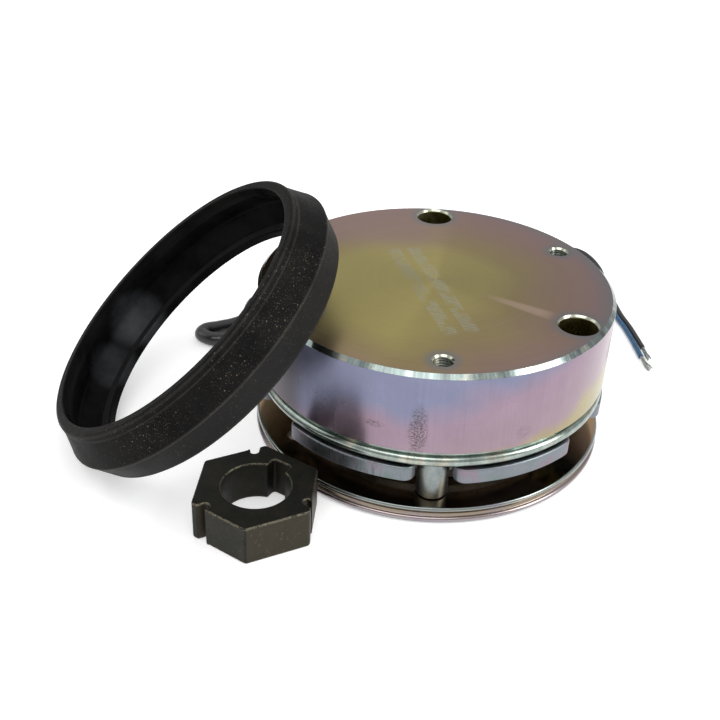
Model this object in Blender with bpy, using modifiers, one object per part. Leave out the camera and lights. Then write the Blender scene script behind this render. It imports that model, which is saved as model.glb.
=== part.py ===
"""A spring-applied electromagnetic brake lying on its flange, with its loose hexagon hub beside it
and its rubber cover ring leaning on it. The origin is the centre of the housing's closed back face,
+Z runs out of that face along the brake's axis, and lengths are in metres."""

import math

import bmesh
import bpy
from mathutils import Matrix, Vector

MM = 0.001

# Driving dimensions.
TOUCH = 0.3 * MM  # gap kept between pieces that rest on each other
AIR_GAP = 0.4 * MM  # between the armature and the magnet when the brake is applied

HOUSING_RADIUS = 52.5 * MM
HOUSING_HEIGHT = 29.6 * MM
HOUSING_CHAMFER = 1.2 * MM
SEAL_GROOVE_DEPTH = 1.5 * MM
SEAL_GROOVE_WIDTH = 1.3 * MM
BEAD_HEIGHT = 3.3 * MM
COIL_INNER_RADIUS = 25.0 * MM
COIL_OUTER_RADIUS = 38.5 * MM
COIL_DEPTH = 18.0 * MM
SHAFT_POCKET_RADIUS = 12.5 * MM
SHAFT_POCKET_DEPTH = 20.0 * MM
BOBBIN_WALL = 1.0 * MM
RESIN_THICKNESS = 1.6 * MM

BOLT_CIRCLE_INSET = 7.5 * MM  # inside the housing's side
MOUNTING_ANGLES = (-31.3, 88.7, 208.7)
MOUNTING_HOLE_RADIUS = 5.3 * MM
MOUNTING_BOLT_HOLE_RADIUS = 2.75 * MM
SCREW_ANGLES = (-90.0, 30.0, 150.0)
SCREW_HOLE_RADIUS = 2.5 * MM
HOLE_CHAMFER = 0.6 * MM

ARMATURE_OVERHANG = 0.4 * MM  # past the housing's side
ARMATURE_THICKNESS = 4.6 * MM
ARMATURE_EDGE_CHAMFER = 0.4 * MM
SLEEVE_NOTCH_CLEARANCE = 0.65 * MM
MOUNTING_NOTCH_RADIUS = 8.4 * MM

CARRIER_THICKNESS = 2.4 * MM
LINING_THICKNESS = 2.3 * MM
LINING_INNER_RADIUS = 25.0 * MM
LINING_OUTER_RADIUS = 39.5 * MM
HUB_CLEARANCE = 0.15 * MM  # on each flat of the carrier's hexagon hole
HUB_CORNER_CLEARANCE = 1.05 * MM  # where the hub's corners pass through the armature

FLANGE_OVERHANG = 0.9 * MM  # past the housing's side
FLANGE_THICKNESS = 5.4 * MM
FLANGE_BORE_RADIUS = 14.0 * MM
RIM_EDGE_CHAMFER = 0.8 * MM
RIM_LIP_DEPTH = 1.2 * MM  # from the flange's top face to the groove's edge
RIM_GROOVE_DEPTH = 1.1 * MM
RIM_BEAD_RADIUS = 0.8 * MM
RIM_BEAD_HEIGHT = 0.5 * MM  # from the table to the underside of the bead

SLEEVE_RADIUS = 4.5 * MM
SLEEVE_WALL = 1.6 * MM

SCREW_RADIUS = 2.2 * MM
SCREW_HEAD_RADIUS = 4.0 * MM
SCREW_HEAD_HEIGHT = 2.6 * MM
SCREW_ENGAGEMENT = 16.0 * MM
HEX_SOCKET_FLATS = 4.0 * MM
HEX_SOCKET_DEPTH = 1.5 * MM

SPRING_COUNT = 6
SPRING_FIRST_ANGLE = 0.0  # the springs stand between the holes on the bolt circle
SPRING_RADIUS = 2.3 * MM
SPRING_WIRE_RADIUS = 0.45 * MM
SPRING_TURNS = 4
SPRING_POCKET_DEPTH = 13.0 * MM
SPRING_POCKET_CLEARANCE = 0.4 * MM

HUB_FLATS = 31.6 * MM
HUB_HEIGHT = 12.0 * MM
HUB_BORE_RADIUS = 9.5 * MM
HUB_KEYWAY_WIDTH = 6.0 * MM
HUB_KEYWAY_RADIUS = 12.3 * MM
HUB_SLOT_WIDTH = 2.4 * MM
HUB_SLOT_DEPTH = 4.2 * MM  # from the corner that the slot lies beside
HUB_SLOT_OFFSET = 2.85 * MM  # from the radius through that corner
HUB_KEYWAY_TURN = -148.0  # degrees from a corner
HUB_EDGE_RADIUS = 0.8 * MM
HUB_CORNER_ANGLE = 207.0
HUB_DIRECTION = 228.6  # from the brake's axis to the hub
HUB_GAP = 0.95 * MM

RING_WIDTH = 18.7 * MM
RING_FRONT_RADIUS = 46.3 * MM
RING_RIDGE_RADIUS = 50.3 * MM
RING_RIDGE_PLACE = 9.5 * MM  # behind the front lip
RING_BACK_RADIUS = 47.4 * MM
RING_WALL = 3.3 * MM
RING_LIP_DEPTH = 3.3 * MM  # of the back lip, inside the wall
RING_LIP_THICKNESS = 2.4 * MM
RING_EDGE = 0.8 * MM  # width of the flats that break the ring's edges
RING_TILT = 41.4
RING_TILT_DIRECTION = 190.8
RING_DIRECTION = 191.8  # from the brake's axis to the ring's centre
RING_FREE_PLAY = 1.8 * MM  # the soft lip's own give where it leans on the housing

WIRE_RADIUS = 0.95 * MM
CONDUCTOR_RADIUS = 0.6 * MM
LEAD_ANGLE = 165.0
LEAD_HEIGHT = 30.0 * MM  # above the surface that the brake lies on
GROMMET_RADIUS = 3.4 * MM
GROMMET_COLLAR_RADIUS = 4.6 * MM
GROMMET_COLLAR_THICKNESS = 1.7 * MM

SEGMENTS = 64
COIL_SEGMENTS = 48
HOLE_SEGMENTS = 20
SMALL_SEGMENTS = 16
OVERCUT = 2.0 * MM  # how far a cutter passes a face that it cuts through

# Sizes that follow from the ones above.
BOLT_CIRCLE_RADIUS = HOUSING_RADIUS - BOLT_CIRCLE_INSET
ARMATURE_RADIUS = HOUSING_RADIUS + ARMATURE_OVERHANG
FLANGE_RADIUS = HOUSING_RADIUS + FLANGE_OVERHANG
HUB_CORNER_RADIUS = HUB_FLATS / math.sqrt(3)
ARMATURE_BORE_RADIUS = HUB_CORNER_RADIUS + HUB_CORNER_CLEARANCE
RING_LIP_INNER_RADIUS = RING_BACK_RADIUS - RING_WALL - RING_LIP_DEPTH
GROMMET_INNER_END = COIL_OUTER_RADIUS + 2 * TOUCH

# Heights, from the back face down.
HOUSING_BOTTOM = -HOUSING_HEIGHT
ARMATURE_TOP = HOUSING_BOTTOM - AIR_GAP
ARMATURE_BOTTOM = ARMATURE_TOP - ARMATURE_THICKNESS
UPPER_LINING_TOP = ARMATURE_BOTTOM - TOUCH
CARRIER_TOP = UPPER_LINING_TOP - LINING_THICKNESS - TOUCH
LOWER_LINING_TOP = CARRIER_TOP - CARRIER_THICKNESS - TOUCH
FLANGE_TOP = LOWER_LINING_TOP - LINING_THICKNESS - TOUCH
TABLE = FLANGE_TOP - FLANGE_THICKNESS

# The twisted leads' own route, in millimetres: x, y and the height above the table.
LEAD_ROUTE = (
    (-53.2, 14.3, 30.0), (-55.6, 15.1, 29.3), (-57.4, 17.0, 25.0), (-58.6, 20.5, 15.5),
    (-60.0, 26.0, 7.0), (-62.6, 32.0, 3.0), (-67.5, 35.9, 2.1), (-73.0, 36.3, 2.1),
    (-76.9, 38.9, 2.1), (-76.0, 42.3, 2.1), (-71.4, 44.4, 2.1), (-66.0, 47.4, 2.1),
    (-59.0, 54.0, 2.1), (-51.0, 62.0, 2.1), (-42.0, 68.0, 2.1), (-30.0, 71.0, 2.1),
    (-18.0, 70.0, 2.1), (-4.0, 73.5, 2.1), (9.0, 82.0, 2.1), (21.0, 92.5, 2.1),
    (33.0, 103.5, 2.1), (46.0, 113.5, 2.1), (57.5, 119.3, 2.1), (66.8, 117.0, 2.1),
    (71.9, 103.0, 2.1), (71.7, 91.0, 2.1), (72.6, 80.0, 2.1),
)
BLACK_END_ROUTE = (
    (73.8, 79.6, 1.1), (74.9, 68.5, 1.1), (76.5, 59.8, 1.1), (77.6, 51.5, 1.1), (78.3, 45.6, 1.1),
)
BLUE_END_ROUTE = (
    (71.4, 79.6, 1.1), (72.7, 68.0, 1.1), (74.4, 59.3, 1.1), (75.5, 50.5, 1.1), (76.5, 39.2, 1.1),
)
BLACK_CONDUCTOR_ROUTE = ((78.3, 45.2, 1.1), (78.8, 41.6, 0.9), (79.4, 38.3, 0.8))
BLUE_CONDUCTOR_ROUTE = ((76.6, 38.8, 1.1), (77.2, 35.0, 0.9), (78.1, 31.5, 0.8))

COLOURS = {  # colour, roughness, metallic
    "yellow_zinc": ((0.27, 0.22, 0.12), 0.32, 1.0),
    "armature_steel": ((0.24, 0.29, 0.31), 0.40, 1.0),
    "flange_steel": ((0.30, 0.28, 0.26), 0.22, 1.0),
    "sleeve_steel": ((0.33, 0.36, 0.36), 0.35, 1.0),
    "screw_steel": ((0.10, 0.10, 0.11), 0.45, 1.0),
    "hub_steel": ((0.045, 0.044, 0.038), 0.50, 0.8),
    "spring_steel": ((0.35, 0.35, 0.36), 0.30, 1.0),
    "friction_lining": ((0.05, 0.04, 0.03), 0.85, 0.0),
    "carrier_aluminium": ((0.45, 0.46, 0.47), 0.40, 1.0),
    "copper_winding": ((0.55, 0.22, 0.10), 0.35, 1.0),
    "bobbin_plastic": ((0.02, 0.02, 0.02), 0.50, 0.0),
    "potting_resin": ((0.03, 0.03, 0.03), 0.40, 0.0),
    "rubber": ((0.012, 0.012, 0.012), 0.60, 0.0),
    "black_insulation": ((0.01, 0.01, 0.01), 0.35, 0.0),
    "blue_insulation": ((0.01, 0.10, 0.25), 0.35, 0.0),
    "tinned_copper": ((0.40, 0.42, 0.40), 0.35, 1.0),
}


def clear_scene():
    for obj in list(bpy.data.objects):
        bpy.data.objects.remove(obj, do_unlink=True)


def new_collection(name):
    collection = bpy.data.collections.new(name)
    bpy.context.scene.collection.children.link(collection)
    return collection


def material(name):
    found = bpy.data.materials.get(name)
    if found:
        return found
    colour, roughness, metallic = COLOURS[name]
    made = bpy.data.materials.new(name)
    made.use_nodes = True
    shader = made.node_tree.nodes["Principled BSDF"]
    shader.inputs["Base Color"].default_value = (*colour, 1.0)
    shader.inputs["Roughness"].default_value = roughness
    shader.inputs["Metallic"].default_value = metallic
    return made


def add_part(name, data, finish, parent=None):
    obj = bpy.data.objects.new(name, data)
    parts.objects.link(obj)
    data.materials.append(material(finish))
    obj.parent = parent
    return obj


def add_cutter(name, mesh, parent=None):
    obj = bpy.data.objects.new(name, mesh)
    cutters.objects.link(obj)
    obj.hide_render = True
    obj.display_type = "WIRE"
    obj.parent = parent
    return obj


def add_empty(name, location, rotation=(0, 0, 0)):
    empty = bpy.data.objects.new(name, None)
    parts.objects.link(empty)
    empty.location = location
    empty.rotation_euler = rotation
    return empty


def mesh_from(name, shape):
    """A mesh that holds the bmesh shape, which is freed, with its round faces smooth."""
    shape.normal_update()
    bmesh.ops.recalc_face_normals(shape, faces=shape.faces)
    mesh = bpy.data.meshes.new(name)
    shape.to_mesh(mesh)
    shape.free()
    mesh.shade_smooth()
    mesh.set_sharp_from_angle(angle=math.radians(35))
    return mesh


def polar(radius, degrees, z=0.0):
    angle = math.radians(degrees)
    return Vector((radius * math.cos(angle), radius * math.sin(angle), z))


def arc(centre_x, centre_y, radius, start, end, count):
    """Points of an arc in a flat outline's or a profile's plane, with both ends, in degrees."""
    angles = (math.radians(start + (end - start) * i / (count - 1)) for i in range(count))
    return [(centre_x + radius * math.cos(a), centre_y + radius * math.sin(a)) for a in angles]


def turned(name, profile, finish, closed=False, segments=SEGMENTS, parent=None):
    """Turns a profile of (x, z) points about Z. It runs down its outer side; an open one starts and
    ends on the axis, and a closed one is a ring's section."""
    mesh = bpy.data.meshes.new(name)
    last = len(profile) - 1
    edges = [(i, i + 1) for i in range(last)]
    if closed:
        edges.append((last, 0))
    mesh.from_pydata([(x, 0, z) for x, z in profile], edges, [])
    obj = add_part(name, mesh, finish, parent)
    screw = obj.modifiers.new("turn", "SCREW")
    screw.axis = "Z"
    screw.steps = segments
    screw.render_steps = segments
    screw.use_merge_vertices = True
    screw.merge_threshold = 0.00001
    screw.use_smooth_shade = True
    return obj


def add_cylinder(shape, radius, low, high, place=(0, 0, 0), end_radius=None, segments=HOLE_SEGMENTS):
    """Adds a cylinder, or a cone where end_radius is given, from low to high in z."""
    bmesh.ops.create_cone(
        shape,
        cap_ends=True,
        segments=segments,
        radius1=radius,
        radius2=radius if end_radius is None else end_radius,
        depth=high - low,
        matrix=Matrix.Translation(Vector(place) + Vector((0, 0, (low + high) / 2))),
    )


def add_stepped(shape, steps, place, segments=HOLE_SEGMENTS):
    """Adds a turned body about a vertical axis: steps are (radius, z), from the lowest up."""
    (radius, low), (next_radius, high), *more = steps
    before = set(shape.faces)
    add_cylinder(shape, radius, low, high, place, next_radius, segments)
    top = max(set(shape.faces) - before, key=lambda face: face.calc_center_median().z)
    axis = Vector((place[0], place[1], 0))
    for radius, level in more:
        top = bmesh.ops.extrude_discrete_faces(shape, faces=[top])["faces"][0]
        for vert in top.verts:
            spoke = vert.co - axis
            spoke.z = 0
            vert.co = axis + spoke.normalized() * radius + Vector((0, 0, level))


def cut(obj, name, shape):
    """Cuts the bmesh shape's bodies, which stay clear of each other, out of obj."""
    cutter = add_cutter(name, mesh_from(name, shape), obj.parent)
    boolean = obj.modifiers.new(name, "BOOLEAN")
    boolean.operation = "DIFFERENCE"
    boolean.object = cutter


def smooth_route(route, samples):
    """Points of a Catmull-Rom curve through a route given in millimetres above the table."""
    points = [Vector((x * MM, y * MM, TABLE + height * MM)) for x, y, height in route]
    points = [2 * points[0] - points[1], *points, 2 * points[-1] - points[-2]]
    found = []
    for a, b, c, d in zip(points, points[1:], points[2:], points[3:]):
        for i in range(samples):
            t = i / samples
            found.append(
                0.5
                * (
                    2 * b
                    + (c - a) * t
                    + (2 * a - 5 * b + 4 * c - d) * t**2
                    + (3 * b - a - 3 * c + d) * t**3
                )
            )
    return [*found, points[-2]]


def wire(name, points, radius, finish, parent=None, resolution=2):
    curve = bpy.data.curves.new(name, "CURVE")
    curve.dimensions = "3D"
    curve.bevel_depth = radius
    curve.bevel_resolution = resolution
    curve.use_fill_caps = True
    spline = curve.splines.new("POLY")
    spline.points.add(len(points) - 1)
    for point, place in zip(spline.points, points):
        point.co = (*place, 1.0)
    spline.use_smooth = True
    return add_part(name, curve, finish, parent)


def make_housing():
    """The magnet housing: closed back, coil groove, spring pockets, seal groove and bead."""
    groove_radius = HOUSING_RADIUS - SEAL_GROOVE_DEPTH
    bead_top = HOUSING_BOTTOM + BEAD_HEIGHT
    groove_top = bead_top + SEAL_GROOVE_WIDTH
    bead_middle = HOUSING_BOTTOM + BEAD_HEIGHT / 2
    bead_sweep = BEAD_HEIGHT / 2
    coil_top = HOUSING_BOTTOM + COIL_DEPTH
    shaft_pocket_top = HOUSING_BOTTOM + SHAFT_POCKET_DEPTH
    profile = [
        (0, 0),
        (HOUSING_RADIUS - HOUSING_CHAMFER, 0),
        (HOUSING_RADIUS, -HOUSING_CHAMFER),
        (HOUSING_RADIUS, groove_top + SEAL_GROOVE_DEPTH / 3),
        (groove_radius, groove_top),
        (groove_radius, bead_top),
        *arc(HOUSING_RADIUS - bead_sweep, bead_middle, bead_sweep, 70, -70, 7),
        (groove_radius, HOUSING_BOTTOM),
        (COIL_OUTER_RADIUS, HOUSING_BOTTOM),
        (COIL_OUTER_RADIUS, coil_top),
        (COIL_INNER_RADIUS, coil_top),
        (COIL_INNER_RADIUS, HOUSING_BOTTOM),
        (SHAFT_POCKET_RADIUS, HOUSING_BOTTOM),
        (SHAFT_POCKET_RADIUS, shaft_pocket_top),
        (0, shaft_pocket_top),
    ]
    housing = turned("magnet_housing", profile, "yellow_zinc")
    holes = bmesh.new()
    add_cylinder(
        holes, GROMMET_RADIUS + TOUCH, COIL_OUTER_RADIUS - OVERCUT, HOUSING_RADIUS + OVERCUT
    )
    holes.transform(lead_axis())
    below = HOUSING_BOTTOM - OVERCUT
    for angles, radius in (
        (MOUNTING_ANGLES, MOUNTING_HOLE_RADIUS),
        (SCREW_ANGLES, SCREW_HOLE_RADIUS),
    ):
        wide = radius + HOLE_CHAMFER + OVERCUT
        for degrees in angles:
            add_stepped(
                holes,
                [(radius, below), (radius, -HOLE_CHAMFER), (wide, OVERCUT)],
                polar(BOLT_CIRCLE_RADIUS, degrees),
            )
    pocket_radius = SPRING_RADIUS + SPRING_WIRE_RADIUS + SPRING_POCKET_CLEARANCE
    pocket_top = HOUSING_BOTTOM + SPRING_POCKET_DEPTH
    for degrees in spring_angles():
        place = polar(BOLT_CIRCLE_RADIUS, degrees)
        add_cylinder(holes, pocket_radius, below, pocket_top, place, segments=SMALL_SEGMENTS)
    cut(housing, "housing_holes", holes)


def lead_axis():
    """Takes +Z at the origin to the lead's way out of the housing."""
    return (
        Matrix.Translation((0, 0, TABLE + LEAD_HEIGHT))
        @ Matrix.Rotation(math.radians(LEAD_ANGLE), 4, "Z")
        @ Matrix.Rotation(math.radians(90), 4, "Y")
    )


def make_coil():
    """The bobbin with its winding, and the resin ring that closes the coil groove."""
    inner = COIL_INNER_RADIUS + TOUCH
    outer = COIL_OUTER_RADIUS - TOUCH
    resin_low = HOUSING_BOTTOM + TOUCH
    resin_top = resin_low + RESIN_THICKNESS
    low = resin_top + TOUCH
    top = HOUSING_BOTTOM + COIL_DEPTH - TOUCH
    barrel = inner + BOBBIN_WALL
    lower_flange = low + BOBBIN_WALL
    upper_flange = top - BOBBIN_WALL
    turned(
        "coil_bobbin",
        [
            (outer, top), (outer, upper_flange), (barrel, upper_flange), (barrel, lower_flange),
            (outer, lower_flange), (outer, low), (inner, low), (inner, top),
        ],
        "bobbin_plastic", closed=True, segments=COIL_SEGMENTS,
    )
    turned(
        "coil_winding",
        [
            (outer - TOUCH, upper_flange - TOUCH), (outer - TOUCH, lower_flange + TOUCH),
            (barrel + TOUCH, lower_flange + TOUCH), (barrel + TOUCH, upper_flange - TOUCH),
        ],
        "copper_winding", closed=True, segments=COIL_SEGMENTS,
    )
    turned(
        "potting_ring",
        [(outer, resin_top), (outer, resin_low), (inner, resin_low), (inner, resin_top)],
        "potting_resin", closed=True, segments=COIL_SEGMENTS,
    )


def spring_angles():
    return [SPRING_FIRST_ANGLE + i * 360 / SPRING_COUNT for i in range(SPRING_COUNT)]


def make_springs():
    """Compression springs between the pockets' ends and the armature."""
    low = ARMATURE_TOP + TOUCH + SPRING_WIRE_RADIUS
    high = HOUSING_BOTTOM + SPRING_POCKET_DEPTH - TOUCH - SPRING_WIRE_RADIUS
    points_per_turn = 8
    count = round(SPRING_TURNS * points_per_turn)
    for number, degrees in enumerate(spring_angles(), 1):
        centre = polar(BOLT_CIRCLE_RADIUS, degrees)
        coil = [
            centre + polar(SPRING_RADIUS, 360 * i / points_per_turn, low + (high - low) * i / count)
            for i in range(count + 1)
        ]
        wire(f"spring_{number}", coil, SPRING_WIRE_RADIUS, "spring_steel", resolution=1)


def make_armature():
    empty = add_empty("armature_axis", (0, 0, ARMATURE_TOP))
    edge = ARMATURE_EDGE_CHAMFER
    armature = turned(
        "armature_plate",
        [
            (ARMATURE_RADIUS - edge, 0), (ARMATURE_RADIUS, -edge),
            (ARMATURE_RADIUS, edge - ARMATURE_THICKNESS),
            (ARMATURE_RADIUS - edge, -ARMATURE_THICKNESS),
            (ARMATURE_BORE_RADIUS, -ARMATURE_THICKNESS), (ARMATURE_BORE_RADIUS, 0),
        ],
        "armature_steel", closed=True, parent=empty,
    )
    low = -ARMATURE_THICKNESS - OVERCUT
    notches = bmesh.new()
    for degrees in SCREW_ANGLES:
        add_notch(notches, degrees, SLEEVE_RADIUS + SLEEVE_NOTCH_CLEARANCE, low, OVERCUT)
    for degrees in MOUNTING_ANGLES:
        add_notch(notches, degrees, MOUNTING_NOTCH_RADIUS, low, OVERCUT)
    cut(armature, "armature_notches", notches)


def add_notch(shape, degrees, radius, low, high):
    """Adds a slot with a round inner end, which runs out through the plate's edge."""
    outer = ARMATURE_RADIUS + OVERCUT
    outline = [(outer, -radius), (outer, radius), *arc(BOLT_CIRCLE_RADIUS, 0, radius, 90, 270, 11)]
    add_prism(shape, outline, degrees, low, high)


def add_prism(shape, outline, degrees, low, high):
    """Adds a flat outline of (x, y) points, turned by degrees and raised from low to high."""
    turn = Matrix.Rotation(math.radians(degrees), 4, "Z")
    face = shape.faces.new([shape.verts.new(turn @ Vector((x, y, low))) for x, y in outline])
    raised = bmesh.ops.extrude_face_region(shape, geom=[face])["geom"]
    corners = [item for item in raised if isinstance(item, bmesh.types.BMVert)]
    bmesh.ops.translate(shape, verts=corners, vec=(0, 0, high - low))


def add_hexagon(shape, flats, low, high, corner_angle=0.0):
    add_cylinder(shape, flats / math.sqrt(3), low, high, segments=6)
    bmesh.ops.rotate(shape, verts=shape.verts, matrix=Matrix.Rotation(math.radians(corner_angle), 3, "Z"))


def make_rotor():
    """The friction disc: a carrier that slides on the hub's hexagon, with a lining on each side."""
    empty = add_empty("rotor_axis", (0, 0, CARRIER_TOP))
    carrier = turned(
        "rotor_carrier",
        [
            (0, 0), (LINING_OUTER_RADIUS, 0),
            (LINING_OUTER_RADIUS, -CARRIER_THICKNESS), (0, -CARRIER_THICKNESS),
        ],
        "carrier_aluminium", segments=COIL_SEGMENTS, parent=empty,
    )
    shape = bmesh.new()
    add_hexagon(shape, HUB_FLATS + 2 * HUB_CLEARANCE, -CARRIER_THICKNESS - OVERCUT, OVERCUT)
    cut(carrier, "hub_hole", shape)
    for name, top in (
        ("friction_lining_upper", UPPER_LINING_TOP - CARRIER_TOP),
        ("friction_lining_lower", LOWER_LINING_TOP - CARRIER_TOP),
    ):
        low = top - LINING_THICKNESS
        turned(
            name,
            [
                (LINING_OUTER_RADIUS, top), (LINING_OUTER_RADIUS, low),
                (LINING_INNER_RADIUS, low), (LINING_INNER_RADIUS, top),
            ],
            "friction_lining", closed=True, segments=COIL_SEGMENTS, parent=empty,
        )


def make_flange():
    """The counter-friction plate, with a groove and a bead round its rim and counterbores below."""
    top = FLANGE_TOP
    groove = FLANGE_RADIUS - RIM_GROOVE_DEPTH
    groove_top = top - RIM_LIP_DEPTH
    bead_middle = TABLE + RIM_BEAD_HEIGHT + RIM_BEAD_RADIUS
    bead_top = bead_middle + RIM_BEAD_RADIUS
    groove_middle = (groove_top + bead_top) / 2
    flange = turned(
        "flange_plate",
        [
            (FLANGE_RADIUS - RIM_EDGE_CHAMFER, top), (FLANGE_RADIUS, top - RIM_EDGE_CHAMFER / 2),
            (FLANGE_RADIUS, groove_top), (groove + RIM_GROOVE_DEPTH / 4, (groove_top + groove_middle) / 2),
            (groove, groove_middle), (groove + RIM_GROOVE_DEPTH / 10, bead_top + TOUCH),
            *arc(FLANGE_RADIUS - RIM_BEAD_RADIUS, bead_middle, RIM_BEAD_RADIUS, 80, -60, 6),
            (FLANGE_RADIUS - RIM_EDGE_CHAMFER, TABLE),
            (FLANGE_BORE_RADIUS, TABLE), (FLANGE_BORE_RADIUS, top),
        ],
        "flange_steel", closed=True,
    )
    low = TABLE - OVERCUT
    high = top + OVERCUT
    counterbore_top = TABLE + 2 * TOUCH + SCREW_HEAD_HEIGHT
    counterbore = SCREW_HEAD_RADIUS + TOUCH
    through = SCREW_RADIUS + TOUCH
    holes = bmesh.new()
    for degrees in MOUNTING_ANGLES:
        add_cylinder(holes, MOUNTING_BOLT_HOLE_RADIUS, low, high, polar(BOLT_CIRCLE_RADIUS, degrees))
    for degrees in SCREW_ANGLES:
        add_stepped(
            holes,
            [(counterbore, low), (counterbore, counterbore_top), (through, counterbore_top), (through, high)],
            polar(BOLT_CIRCLE_RADIUS, degrees),
        )
    cut(flange, "flange_holes", holes)


def make_sleeves_and_screws():
    """Spacer sleeves between flange and housing, each on an assembly screw put in from below."""
    head_low = TABLE + TOUCH
    head_top = head_low + SCREW_HEAD_HEIGHT
    for number, degrees in enumerate(SCREW_ANGLES, 1):
        empty = add_empty(f"screw_axis_{number}", polar(BOLT_CIRCLE_RADIUS, degrees))
        low = FLANGE_TOP + TOUCH
        high = HOUSING_BOTTOM - TOUCH
        bore = SLEEVE_RADIUS - SLEEVE_WALL
        turned(
            f"spacer_sleeve_{number}",
            [(SLEEVE_RADIUS, high), (SLEEVE_RADIUS, low), (bore, low), (bore, high)],
            "sleeve_steel", closed=True, segments=32, parent=empty,
        )
        screw = turned(
            f"assembly_screw_{number}",
            [
                (0, HOUSING_BOTTOM + SCREW_ENGAGEMENT), (SCREW_RADIUS, HOUSING_BOTTOM + SCREW_ENGAGEMENT),
                (SCREW_RADIUS, head_top), (SCREW_HEAD_RADIUS, head_top),
                (SCREW_HEAD_RADIUS, head_low), (0, head_low),
            ],
            "screw_steel", segments=SMALL_SEGMENTS, parent=empty,
        )
        shape = bmesh.new()
        add_hexagon(shape, HEX_SOCKET_FLATS, head_low - OVERCUT, head_low + HEX_SOCKET_DEPTH)
        cut(screw, f"socket_{number}", shape)


def make_hub():
    """The hub stands on the table with its bore upright, just clear of the flange."""
    place = polar(FLANGE_RADIUS + HUB_CORNER_RADIUS + HUB_GAP, HUB_DIRECTION, TABLE)
    empty = add_empty("hub_axis", place)
    shape = bmesh.new()
    add_hexagon(shape, HUB_FLATS, 0, HUB_HEIGHT, HUB_CORNER_ANGLE)
    hub = add_part("hub", mesh_from("hub", shape), "hub_steel", empty)
    bevel = hub.modifiers.new("edges", "BEVEL")
    bevel.width = HUB_EDGE_RADIUS
    bevel.segments = 2
    bore = bmesh.new()
    add_cylinder(bore, HUB_BORE_RADIUS, -OVERCUT, HUB_HEIGHT + OVERCUT, segments=40)
    cut(hub, "hub_bore", bore)
    keyway = bmesh.new()
    half = HUB_KEYWAY_WIDTH / 2
    outline = [(0, -half), (HUB_KEYWAY_RADIUS, -half), (HUB_KEYWAY_RADIUS, half), (0, half)]
    add_prism(keyway, outline, HUB_CORNER_ANGLE + HUB_KEYWAY_TURN, -OVERCUT, HUB_HEIGHT + OVERCUT)
    cut(hub, "keyway", keyway)
    slots = bmesh.new()
    for corner in range(3):
        add_hub_slot(slots, HUB_CORNER_ANGLE - 120 * corner)
    cut(hub, "hub_slots", slots)


def add_hub_slot(shape, corner_degrees):
    """Adds a slot with a round bottom, cut beside this corner and in line with its radius."""
    radius = HUB_SLOT_WIDTH / 2
    bottom = HUB_CORNER_RADIUS - HUB_SLOT_DEPTH + radius
    mouth = HUB_CORNER_RADIUS + OVERCUT
    near, far = HUB_SLOT_OFFSET - radius, HUB_SLOT_OFFSET + radius
    outline = [(mouth, near), (mouth, far), *arc(bottom, HUB_SLOT_OFFSET, radius, 90, 270, 9)]
    add_prism(shape, outline, corner_degrees, -OVERCUT, HUB_HEIGHT + OVERCUT)


def ring_turn():
    """Takes the ring's own axis, +Z out of its front lip, to the way it leans."""
    return (
        Matrix.Rotation(math.radians(RING_TILT_DIRECTION), 4, "Z")
        @ Matrix.Rotation(math.radians(RING_TILT), 4, "Y")
    )


def ring_place():
    """The centre of the ring's front lip: its back edge on the table, and its back lip leaning on the
    housing's top edge with the free play left between them."""
    turn = ring_turn()
    tilt = math.radians(RING_TILT)
    height = TABLE + TOUCH + RING_BACK_RADIUS * math.sin(tilt) + RING_WIDTH * math.cos(tilt)
    back = [
        turn @ polar(radius, degrees, -RING_WIDTH)
        for radius in (RING_LIP_INNER_RADIUS, RING_BACK_RADIUS)
        for degrees in range(0, 360, 2)
    ]

    def gap(distance):
        centre = polar(distance, RING_DIRECTION, height)
        gaps = []
        for point in back:
            x, y, z = centre + point
            side = math.hypot(x, y) - HOUSING_RADIUS
            gaps.append(math.hypot(max(side, 0), max(z, 0)) or max(side, z))
        return min(gaps)

    near, far = HOUSING_RADIUS, HOUSING_RADIUS + 2 * RING_RIDGE_RADIUS
    for _ in range(40):
        middle = (near + far) / 2
        if gap(middle) < RING_FREE_PLAY:
            near = middle
        else:
            far = middle
    return polar(far, RING_DIRECTION, height)


def make_cover_ring():
    """The rubber ring that closes the air gap, unfitted: two lips, a conical wall and a ridge."""
    empty = add_empty("ring_axis", ring_place(), ring_turn().to_euler())
    edge = RING_EDGE
    back = -RING_WIDTH
    ridge = -RING_RIDGE_PLACE
    turned(
        "cover_ring",
        [
            (RING_FRONT_RADIUS - edge, 0), (RING_FRONT_RADIUS, -edge),
            (RING_RIDGE_RADIUS - edge / 2, ridge + edge), (RING_RIDGE_RADIUS, ridge),
            (RING_RIDGE_RADIUS - edge / 2, ridge - edge),
            (RING_BACK_RADIUS + edge / 4, back + edge), (RING_BACK_RADIUS - edge, back),
            (RING_LIP_INNER_RADIUS, back), (RING_LIP_INNER_RADIUS, back + RING_LIP_THICKNESS),
            (RING_BACK_RADIUS - RING_WALL, back + RING_LIP_THICKNESS + edge),
            (RING_RIDGE_RADIUS - RING_WALL, ridge),
            (RING_FRONT_RADIUS - RING_WALL, -RING_LIP_THICKNESS), (RING_FRONT_RADIUS - RING_WALL, 0),
        ],
        "rubber", closed=True, parent=empty,
    )


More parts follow.
